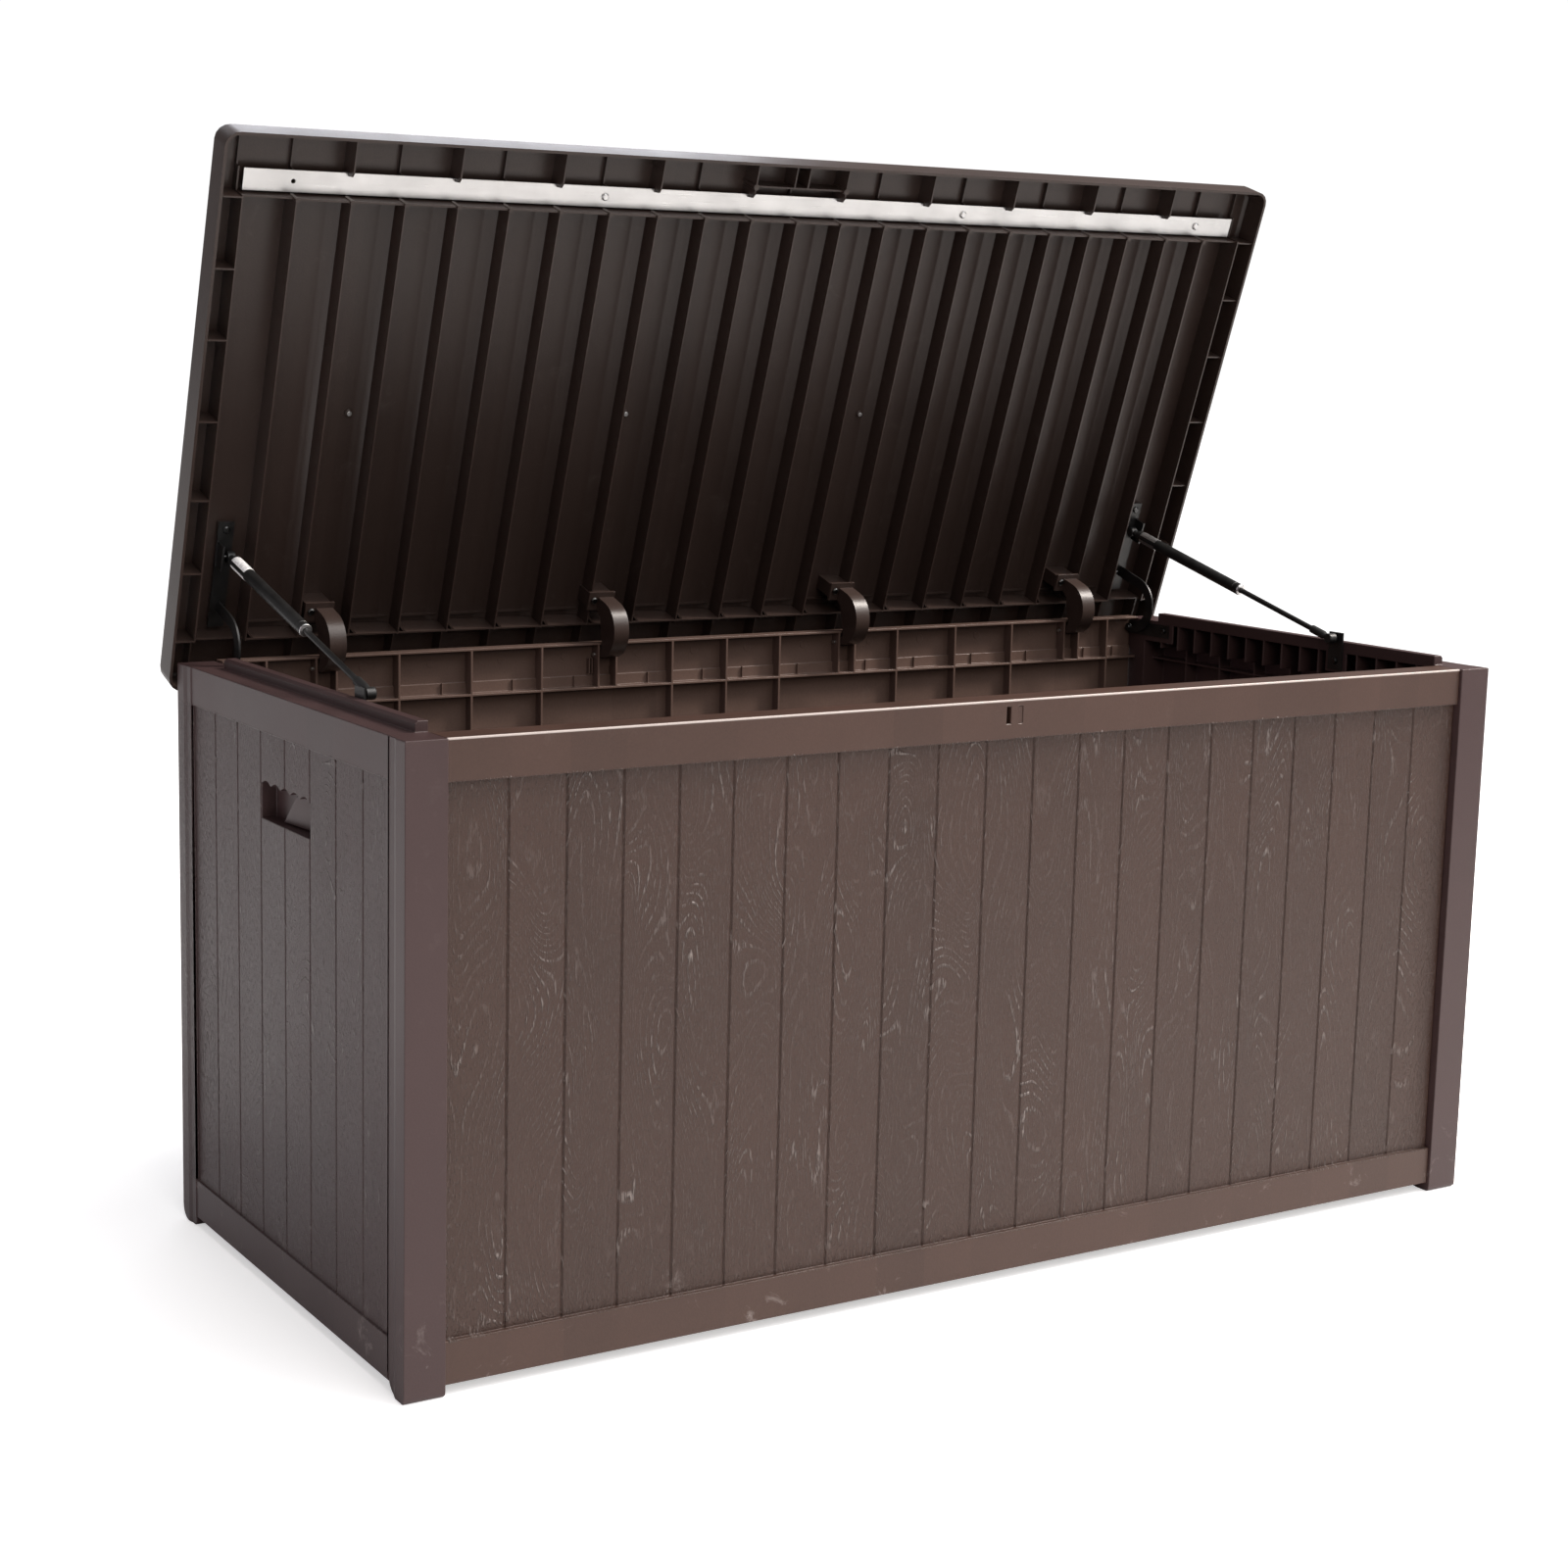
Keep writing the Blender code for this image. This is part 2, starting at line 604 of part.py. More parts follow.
def lid_panel():
    shell, hollow = lid_shell_shapes()
    deck = rim(LID_HEIGHT - LID_DECK / 2)
    shell_object = piece("lid_shell", [shell], [hollow], RESIN, None)
    shell_points = [tuple(vertex.co) for vertex in shell_object.data.vertices]
    shell_faces = [tuple(face.vertices) for face in shell_object.data.polygons]
    bpy.data.objects.remove(shell_object, do_unlink=True)
    adds = [(shell_points, shell_faces)]
    for i in range(-FIN_COUNT_SIDE, FIN_COUNT_SIDE + 1):
        x = i * PLANK_PITCH
        adds.append(lid_fin(x, FIN))
        if i % 2:
            adds.append(front_gusset(x))
    outer_wall = LID_WIDTH / 2 - LID_WALL / 2
    for side in (-1, 1):
        adds.append(lid_fin(side * SIDE_FIN_X, FIN))
        near, far = sorted((side * SIDE_FIN_X, side * outer_wall))
        for at in CROSS_RIBS_AT_EDGE + [HINGE_BAY, BAR_RIB]:
            adds.append(block(near, far, along(at) - FIN / 2, along(at) + FIN / 2,
                              rim(FIN_SET_BACK), deck))
        # shallow cross ribs over the side panels' rain lips
        near, far = sorted((side * (PLANK_PITCH * FIN_COUNT_SIDE), side * SIDE_FIN_X))
        for at in (HINGE_BAY, BAR_RIB):
            adds.append(block(near, far, along(at) - FIN / 2, along(at) + FIN / 2, rim(0.010), deck))
    end = PLANK_PITCH * FIN_COUNT_SIDE
    for at in (HINGE_BAY, BAR_RIB):
        adds.append(block(-end, end, along(at) - FIN / 2, along(at) + FIN / 2,
                          rim(FIN_SET_BACK), deck))
    # latch bay in the middle of the front edge
    adds.append(block(-PLANK_PITCH, PLANK_PITCH, along(LOCK_RIB) - FIN / 2,
                      along(LOCK_RIB) + FIN / 2, rim(0.012), deck))
    for x in (-LOCK_SLOT_X, LOCK_SLOT_X + 0.003):
        adds.append(block(x - FIN / 2, x + FIN / 2, along(LID_DEPTH) + LID_WALL / 2,
                          along(LOCK_RIB), rim(0.012), deck))
    # pads under the gooseneck flanges and the steel plates
    for x in HOOK_X:
        adds.append(block(x - FLANGE_HALF + 0.002, x + FLANGE_HALF - 0.002, -FLANGE_FAR + 0.003,
                          -FLANGE_NEAR - 0.003, rim(FIN_SET_BACK), deck))
    for side in (-1, 1):
        near, far = sorted((side * (PLATE_X - PLATE_HALF), side * (PLATE_X + PLATE_HALF)))
        for low, high in ((0.050, 0.080), (0.158, 0.177)):
            adds.append(block(near, far, -high, -low, PLATE_LEVEL + STEEL / 2 + GAP, deck))
    adds += bar_bosses()
    # pegs along the upper cross rib, and at the ends of the latch bay
    for i in range(-FIN_COUNT_SIDE, FIN_COUNT_SIDE + 1):
        adds.append(disc((i * PLANK_PITCH, along(BAR_RIB)), PEG_RADIUS, "Z", rim(0.0005),
                         rim(0.021), 10))
    for x in (-PLANK_PITCH, PLANK_PITCH):
        adds.append(disc((x, along(LOCK_RIB)), PEG_RADIUS + 0.001, "Z", rim(0.007), deck, 10))
    # a slanting brace between each fin and the lower cross rib, and a low step beside it
    clear = [x + side * FLANGE_HALF for x in HOOK_X for side in (-1, 1)]
    for i in range(-FIN_COUNT_SIDE, FIN_COUNT_SIDE):
        x = i * PLANK_PITCH
        near = along(HINGE_BAY)
        if all(abs(x + BRACE / 2 - at) > BRACE for at in clear):
            adds.append(prism([(x - FIN / 2, near - BRACE), (x + FIN / 2, near - BRACE - FIN / 2),
                               (x + BRACE + FIN / 2, near), (x + BRACE - FIN, near + FIN / 4)],
                              "Z", rim(FIN_SET_BACK + 0.001), deck))
    adds.append(block(-end, end, along(HINGE_BAY + BRACE), along(HINGE_BAY + BRACE) + FIN,
                      rim(0.033), deck))
    # plank grooves in the top
    cuts = []
    top = rim(LID_HEIGHT)
    for i in range(-FIN_COUNT_SIDE, FIN_COUNT_SIDE + 1):
        x = i * PLANK_PITCH
        groove = [(top - GROOVE_DEPTH * 0.8, x), (top + 0.001, x + GROOVE_WIDTH * 0.9),
                  (top + 0.001, x - GROOVE_WIDTH * 0.9)]
        cuts.append(prism(groove, "Y", along(LID_DEPTH - 0.030), along(0.030)))
    # screw holes for the stiffener bar
    for x in BAR_HOLES:
        cuts.append(disc((x, along(BAR_LOW + BAR_WIDTH / 2)), 0.0024, "Z", rim(0.02), rim(0.034)))
    return piece("lid_panel", adds, cuts, RESIN_DARK, LID)


def bar_bosses():
    """Small round bosses that carry the bar's screws, in the lid's frame."""
    deck = rim(LID_HEIGHT - LID_DECK / 2)
    return [disc((x, along(BAR_LOW + BAR_WIDTH / 2)), 0.005, "Z",
                 rim(BAR_LEVEL + BAR_THICK + GAP), deck, 12) for x in BAR_HOLES]


lid_panel()


def stiffener_bar():
    low, high = along(BAR_LOW + BAR_WIDTH), along(BAR_LOW)
    adds = [block(-BAR_HALF, BAR_HALF, low, high, rim(BAR_LEVEL), rim(BAR_LEVEL + BAR_THICK))]
    cuts = [disc((x, (low + high) / 2), 0.0028, "Z", rim(0), rim(0.04), 14) for x in BAR_HOLES]
    return piece("stiffener_bar", adds, cuts, ALUMINIUM, LID)


stiffener_bar()


# ---------------------------------------------------------------- fasteners
def screw(name, head_radius, head_height, shank_radius, length, place, parent, finish):
    """A pan head screw: its head stands on z = 0 and its shank goes down."""
    profile = [(0, -length), (shank_radius, -length), (shank_radius, 0), (head_radius, 0),
               (head_radius, head_height * 0.45), (head_radius * 0.7, head_height)]
    return piece(name, [moved(turned(profile, 12), place)], [], finish, parent, smooth=True)


def facing(point, outward):
    """Place for a screw whose head points along outward."""
    turn = Vector((0, 0, 1)).rotation_difference(Vector(outward)).to_matrix().to_4x4()
    return Matrix.Translation(Vector(point)) @ turn


for number, x in enumerate(BAR_HOLES[1:], start=1):
    screw("bar_screw_%d" % number, 0.0048, 0.0024, 0.0020, 0.010,
          facing((x, along(BAR_LOW + BAR_WIDTH / 2), rim(BAR_LEVEL - GAP)), (0, 0, -1)),
          LID, ZINC_STEEL)


# ---------------------------------------------------------------- plastic goosenecks
def gooseneck_outline(top):
    """Side view of a plastic gooseneck in the lid's frame, (y, z): a thick C from
    the pin to the lid, filled as far back as the box's back wall allows."""
    points = arc((-HOOK_CENTRE, 0.0), HOOK_OUTER, 356, 180, 14)
    points += [(-HOOK_CENTRE - HOOK_OUTER, top), (-FLANGE_NEAR - 0.001, top), (-0.050, 0.008),
               (-0.0235, -0.0045), (-0.0215, -0.0085), (-0.0150, -0.0105), (-0.0040, -0.0050)]
    return points


def arm_outline(top):
    """Side view of a steel gooseneck: a narrower C of even depth."""
    centre = (-HOOK_CENTRE, 0.0)
    points = arc(centre, ARM_OUTER, 356, 180, 16)
    points += [(-HOOK_CENTRE - ARM_OUTER, top), (-HOOK_CENTRE - ARM_OUTER + ARM_BAND, top)]
    return points + arc(centre, ARM_OUTER - ARM_BAND, 180, 330, 10)


def screw_down(name, x, y, level, depth, parent=LID):
    """A screw put in from below, its head under the level."""
    screw(name, 0.0048, 0.0024, 0.0020, depth, facing((x, y, level - GAP), (0, 0, -1)),
          parent, ZINC_STEEL)


for number, x in enumerate(HOOK_X, start=1):
    middle = x + HOOK_OFFSET
    near, far = middle - HOOK_WIDTH / 2, middle + HOOK_WIDTH / 2
    flange_top = rim(FIN_SET_BACK - GAP)
    flange_low = flange_top - FLANGE_THICK
    screw_x = x - FLANGE_HALF * 0.58
    screw_y = -(FLANGE_NEAR + FLANGE_FAR) / 2 - 0.001
    adds = [
        prism(gooseneck_outline(flange_low + 0.001), "X", near, far),
        disc((0, 0), HOOK_BOSS, "X", near, far),
        block(x - FLANGE_HALF, x + FLANGE_HALF, -FLANGE_FAR, -FLANGE_NEAR, flange_low, flange_top),
    ]
    holes = [disc((0, 0), PIN_RADIUS + GAP, "X", near - 0.01, far + 0.01),
             disc((screw_x, screw_y), 0.0023, "Z", flange_low - 0.01, flange_top + 0.01, 12)]
    piece("gooseneck_%d" % number, adds, holes, RESIN_DARK, LID, smooth=True)
    screw_down("gooseneck_screw_%d" % number, screw_x, screw_y, flange_low, FLANGE_THICK - GAP)
    pin_half = HOOK_WIDTH / 2 + 0.0055
    piece("hinge_pin_%d" % number,
          [disc((HINGE_Y, HINGE_Z), PIN_RADIUS, "X", middle - pin_half, middle + pin_half, 16)],
          [], ZINC_STEEL, BOX, smooth=True)


# ---------------------------------------------------------------- steel hinge brackets
def lid_bracket(name, side):
    """Black steel plate in the lid, with a flange for the strut's stud and a
    gooseneck plate down to the rivet on the side wall."""
    low, high = PLATE_LEVEL - STEEL / 2, PLATE_LEVEL + STEEL / 2
    flange_low = STUD_RISE - 0.008
    adds = [
        prism(arm_outline(low + 0.001), "X", -ARM_X - STEEL / 2, -ARM_X + STEEL / 2),
        disc((0, 0), HOOK_BOSS, "X", -ARM_X - STEEL / 2, -ARM_X + STEEL / 2),
        block(-PLATE_X - PLATE_HALF, -PLATE_X + PLATE_HALF, -PLATE_FAR, -PLATE_NEAR, low, high),
        block(-STUD_FLANGE_X - STEEL, -STUD_FLANGE_X, -STUD_FORWARD - 0.016,
              -STUD_FORWARD + 0.016, flange_low, high - 0.0005),
    ]
    cuts = [disc((0, 0), PIN_RADIUS + GAP, "X", -ARM_X - 0.01, -ARM_X + 0.01)]
    for across, forward in BRACKET_SCREWS:
        cuts.append(disc((-across, -forward), 0.0023, "Z", low - 0.01, high + 0.01, 12))
    return piece(name, on_side(adds, side), on_side(cuts, side), BLACK_STEEL, LID)


def wall_plate(name, side, y0, y1, z0, z1, hole_y, hole_z):
    """Flat steel plate on the inside of a side panel, with one screw hole."""
    adds = [block(-HINGE_PLATE_X - 0.002, -HINGE_PLATE_X, y0, y1, z0, z1)]
    cuts = [disc((hole_y, hole_z), 0.0023, "X", -HINGE_PLATE_X - 0.01, -HINGE_PLATE_X + 0.01, 12)]
    return piece(name, on_side(adds, side), on_side(cuts, side), BLACK_STEEL, BOX)


for side, word in ((-1, "left"), (1, "right")):
    lid_bracket("lid_bracket_" + word, side)
    for number, (across, forward) in enumerate(BRACKET_SCREWS, start=1):
        screw_down("lid_bracket_screw_%s_%d" % (word, number), side * across, -forward,
                   PLATE_LEVEL - STEEL / 2, STEEL - GAP)
    strut_screw_at = (WALL_STUD_Y, STRUT_SCREW_Z)
    wall_plate("hinge_plate_" + word, side, *HINGE_PLATE_Y, *HINGE_PLATE_Z, *HINGE_SCREW_AT)
    wall_plate("strut_bracket_" + word, side, WALL_STUD_Y - STRUT_PLATE_HALF,
               WALL_STUD_Y + STRUT_PLATE_HALF, STRUT_PLATE_LOW, WALL_STUD_Z + 0.008,
               *strut_screw_at)
    inwards = (-side, 0, 0)
    for label, (y, z) in (("hinge_plate_screw_", HINGE_SCREW_AT),
                          ("strut_bracket_screw_", strut_screw_at)):
        screw(label + word, 0.0048, 0.0024, 0.0020, 0.0018,
              facing((side * (HINGE_PLATE_X - GAP), y, z), inwards), BOX, ZINC_STEEL)
    # rivet through the steel gooseneck, its head inside
    rivet = [(0, 0), (PIN_RADIUS, 0), (PIN_RADIUS, 0.0062), (0.0045, 0.0062), (0.0040, 0.0080),
             (0, 0.0086)]
    piece("hinge_rivet_" + word,
          [moved(turned(rivet, 16), facing((side * (HINGE_PLATE_X - GAP), HINGE_Y, HINGE_Z), inwards))],
          [], BLACK_STEEL, BOX, smooth=True)


# ---------------------------------------------------------------- gas struts
LID_STUD_OPEN = Matrix.Rotation(-LID_OPEN, 4, "X") @ Vector((0, -STUD_FORWARD, STUD_RISE))
LID_STUD_Y = HINGE_Y + LID_STUD_OPEN.y
LID_STUD_Z = HINGE_Z + LID_STUD_OPEN.z
STRUT_LENGTH = math.hypot(LID_STUD_Y - WALL_STUD_Y, LID_STUD_Z - WALL_STUD_Z)
STRUT_TILT = math.atan2(LID_STUD_Z - WALL_STUD_Z, LID_STUD_Y - WALL_STUD_Y)


def ball_profile(reach):
    """Ball at the origin with a stud going up to reach, as (radius, z)."""
    neck = math.asin(STUD_RADIUS / BALL_RADIUS)
    profile = [(0, -BALL_RADIUS)]
    for i in range(1, 6):
        angle = (math.pi - neck) * i / 5
        profile.append((BALL_RADIUS * math.sin(angle), -BALL_RADIUS * math.cos(angle)))
    return profile + [(STUD_RADIUS, reach), (0, reach)]


def sphere_profile(radius, steps=6):
    middle = [(radius * math.sin(math.pi * i / steps), -radius * math.cos(math.pi * i / steps))
              for i in range(1, steps)]
    return [(0, -radius)] + middle + [(0, radius)]


def socket(name, mouth, length, frame, from_ball, house_half):
    """Nylon ball socket: a short round housing across the strut, a neck along
    it and a bore for the rod or plug. It is drawn along +Z from the ball."""
    across = Matrix.Rotation(math.radians(90), 4, "Y")
    housing = moved(turned([(0, -0.0055), (SOCKET_RADIUS - 0.001, -0.0055),
                            (SOCKET_RADIUS, -0.0045), (SOCKET_RADIUS, house_half),
                            (0, house_half)], 16), across)
    neck = turned([(0, 0.001), (0.0043, 0.001), (0.0043, 0.010), (mouth, 0.0135), (mouth, length),
                   (0, length)], 16)
    cuts = [moved(turned(sphere_profile(BALL_RADIUS + GAP * 2), 16), across),
            moved(turned([(0, 0), (0.0036, 0), (0.0036, 0.02), (0, 0.02)], 12), across)]
    if from_ball < length:
        cuts.append(turned([(0, from_ball), (ROD_RADIUS + GAP, from_ball),
                            (ROD_RADIUS + GAP, length + 0.01), (0, length + 0.01)]))
    return piece(name, [housing, neck], cuts, BLACK_NYLON, frame, smooth=True)


def strut(word, side):
    """One gas strut. Its rod turns on the wall stud and its tube slides on the
    rod. Each empty has its Z along the strut and its X away from the box's
    middle, so both struts are drawn the same way."""
    lean = math.pi / 2 - STRUT_TILT
    wall_end = empty("strut_%s_wall_end" % word, (side * STRUT_X, WALL_STUD_Y, WALL_STUD_Z),
                     (-lean, 0, 0), BOX)
    lid_end = empty("strut_%s_lid_end" % word, (0, 0, STRUT_LENGTH), (math.pi, 0, 0), wall_end)
    if side < 0:
        wall_end.rotation_euler = (lean, 0, math.pi)
    outwards = Matrix.Rotation(math.radians(90), 4, "Y")
    reach = HINGE_PLATE_X - GAP - STRUT_X
    piece("strut_wall_stud_" + word, [moved(turned(ball_profile(reach), 16), outwards)], [],
          ZINC_STEEL, wall_end, smooth=True)
    socket("strut_foot_" + word, 0.0056, FOOT_LENGTH, wall_end, ROD_START - GAP, 0.0058)
    piece("strut_rod_" + word, [turned([(0, ROD_START), (ROD_RADIUS, ROD_START),
                                        (ROD_RADIUS, ROD_START + ROD_LENGTH),
                                        (0, ROD_START + ROD_LENGTH)])],
          [], BLACK_STEEL, wall_end, smooth=True)
    start = ROD_START + ROD_LENGTH + GAP
    piece("strut_piston_" + word, [turned([(0, start), (TUBE_BORE - GAP, start),
                                           (TUBE_BORE - GAP, start + 0.007), (0, start + 0.007)])],
          [], BLACK_NYLON, wall_end, smooth=True)
    # lid end: ball, socket, tube and rod guide, drawn from the ball downwards
    cut_ball = sphere_profile(BALL_RADIUS)
    piece("strut_ball_" + word, [moved(turned(cut_ball, 16), outwards)], [], ZINC_STEEL, lid_end,
          smooth=True)
    socket("strut_head_" + word, 0.0052, TUBE_START - GAP, lid_end, TUBE_START, 0.0043)
    end = TUBE_START + TUBE_LENGTH
    outer = [(0, TUBE_START), (TUBE_RADIUS - 0.002, TUBE_START), (TUBE_RADIUS, TUBE_START + 0.002),
             (TUBE_RADIUS, end - 0.0105), (TUBE_RADIUS - 0.0005, end - 0.0100),
             (TUBE_RADIUS - 0.0005, end - 0.0090), (TUBE_RADIUS, end - 0.0085),
             (TUBE_RADIUS, end - 0.001), (TUBE_RADIUS - 0.001, end), (0, end)]
    bore = [(0, TUBE_START + 0.003), (TUBE_BORE, TUBE_START + 0.003), (TUBE_BORE, end + 0.01),
            (0, end + 0.01)]
    piece("strut_tube_" + word, [turned(outer)], [turned(bore)], BLACK_STEEL, lid_end, smooth=True)
    guide = [(0, end - GUIDE_LENGTH), (TUBE_BORE - GAP, end - GUIDE_LENGTH),
             (TUBE_BORE - GAP, end - 0.0005), (0, end - 0.0005)]
    hole = [(0, end - 0.05), (ROD_RADIUS + GAP, end - 0.05), (ROD_RADIUS + GAP, end + 0.05),
            (0, end + 0.05)]
    piece("strut_guide_" + word, [turned(guide)], [turned(hole)], ZINC_STEEL, lid_end, smooth=True)
    # the lid's own stud stops short of the ball that stays in the strut
    stud = moved(turned([(0, 0), (STUD_RADIUS, 0), (STUD_RADIUS, STUD_FLANGE_X - GAP - SPLIT_X),
                         (0, STUD_FLANGE_X - GAP - SPLIT_X)], 16),
                 Matrix.Translation((side * SPLIT_X, -STUD_FORWARD, STUD_RISE))
                 @ Matrix.Rotation(math.radians(90) * side, 4, "Y"))
    piece("lid_stud_" + word, [stud], [], ZINC_STEEL, LID, smooth=True)


strut("left", -1)
strut("right", 1)
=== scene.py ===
"""Looks of the resin deck storage box: its finishes, moulded details and small fittings,
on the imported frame, with a plain floor, studio light and a camera at a low three-quarter view."""
import json
import math

import bmesh
import bpy
from mathutils import Matrix, Vector

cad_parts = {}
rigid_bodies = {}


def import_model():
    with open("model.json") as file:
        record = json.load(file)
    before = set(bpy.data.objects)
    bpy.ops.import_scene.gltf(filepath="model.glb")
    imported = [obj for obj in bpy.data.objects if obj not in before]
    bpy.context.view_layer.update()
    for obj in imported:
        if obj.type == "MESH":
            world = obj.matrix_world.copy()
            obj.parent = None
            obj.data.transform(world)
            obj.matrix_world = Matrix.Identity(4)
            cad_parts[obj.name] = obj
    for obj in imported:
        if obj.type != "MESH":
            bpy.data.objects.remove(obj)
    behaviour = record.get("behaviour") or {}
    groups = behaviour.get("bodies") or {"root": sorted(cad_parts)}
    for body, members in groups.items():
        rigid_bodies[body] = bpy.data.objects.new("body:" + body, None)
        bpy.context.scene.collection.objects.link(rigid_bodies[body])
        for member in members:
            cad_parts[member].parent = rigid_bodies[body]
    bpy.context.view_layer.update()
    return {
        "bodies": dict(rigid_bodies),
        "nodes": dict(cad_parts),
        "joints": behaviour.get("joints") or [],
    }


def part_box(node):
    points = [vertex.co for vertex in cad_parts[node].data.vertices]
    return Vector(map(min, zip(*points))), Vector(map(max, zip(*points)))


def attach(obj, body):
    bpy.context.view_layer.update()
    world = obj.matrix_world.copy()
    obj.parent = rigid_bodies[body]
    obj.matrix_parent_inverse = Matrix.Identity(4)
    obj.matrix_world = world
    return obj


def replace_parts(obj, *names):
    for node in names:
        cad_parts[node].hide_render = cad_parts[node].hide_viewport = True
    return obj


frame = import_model()

# ------------------------------------------------------------------ front panel
# One injection moulding in brown polypropylene: two smooth rails round twenty-one
# planks, embossed with wood grain by the steel mould, and a flat ledge on top.
PLANK_PITCH = 0.0678         # metres from one plank groove to the next
RAIL_BOTTOM = 0.060          # top of the bottom rail
RAIL_TOP = 0.653             # underside of the top rail
PLANKS_HALF = 0.712          # half the run of planks along the box
FRONT_SKIN = 0.3475          # planks' outer skin, ahead of the box's origin
PAINTED_HIGHLIGHT_EDGE = (0.6975, 0.3540)               # lowest and hindmost of the top front edge that is painted with a highlight
BLANK_SPAN = (0.0058, 0.0112)                # blank in the right padlock slot, along the box
BLANK_HEIGHTS = (0.6714, 0.6906)
BLANK_DEPTHS = (0.0009, 0.0029)              # behind the panel's face


def srgb(code):
    """An sRGB hex colour as linear red, green, blue and alpha."""
    values = [int(code[i:i + 2], 16) / 255 for i in (1, 3, 5)]
    linear = [v / 12.92 if v <= 0.04045 else ((v + 0.055) / 1.055) ** 2.4 for v in values]
    return (*linear, 1.0)


def add(tree, kind, settings=None, **inputs):
    """Adds one node. Settings are its own properties; inputs are values or other nodes' sockets,
    by socket name (spaces as _) or, as i0, i1 and so on, by place."""
    node = tree.nodes.new(kind)
    for key, value in (settings or {}).items():
        setattr(node, key, value)
    for key, value in inputs.items():
        place = int(key[1:]) if key[0] == "i" and key[1:].isdigit() else key.replace("_", " ")
        socket = node.inputs[place]
        if isinstance(value, bpy.types.NodeSocket):
            tree.links.new(value, socket)
        else:
            socket.default_value = value
    return node


def maths(tree, operation, *values):
    """One Math node's output."""
    return add(tree, "ShaderNodeMath", {"operation": operation},
               **{"i%d" % i: value for i, value in enumerate(values)}).outputs[0]


def new_material(name, **shader_inputs):
    """A material with its Principled shader set; returns the material, its tree and the shader."""
    made = bpy.data.materials.new(name)
    made.use_nodes = True
    tree = made.node_tree
    shader = tree.nodes["Principled BSDF"]
    for key, value in shader_inputs.items():
        shader.inputs[key.replace("_", " ")].default_value = value
    return made, tree, shader


def object_place(tree):
    """The place on the object, in metres."""
    return add(tree, "ShaderNodeTexCoord").outputs["Object"]


def band(tree, value, low, high, soft):
    """1 between low and high, falling to 0 over soft outside them."""
    rise = add(tree, "ShaderNodeMapRange", {"interpolation_type": "SMOOTHSTEP"}, Value=value,
               From_Min=low - soft, From_Max=low).outputs[0]
    fall = add(tree, "ShaderNodeMapRange", {"interpolation_type": "SMOOTHSTEP"}, Value=value,
               From_Min=high, From_Max=high + soft, To_Min=1.0, To_Max=0.0).outputs[0]
    return maths(tree, "MULTIPLY", rise, fall)


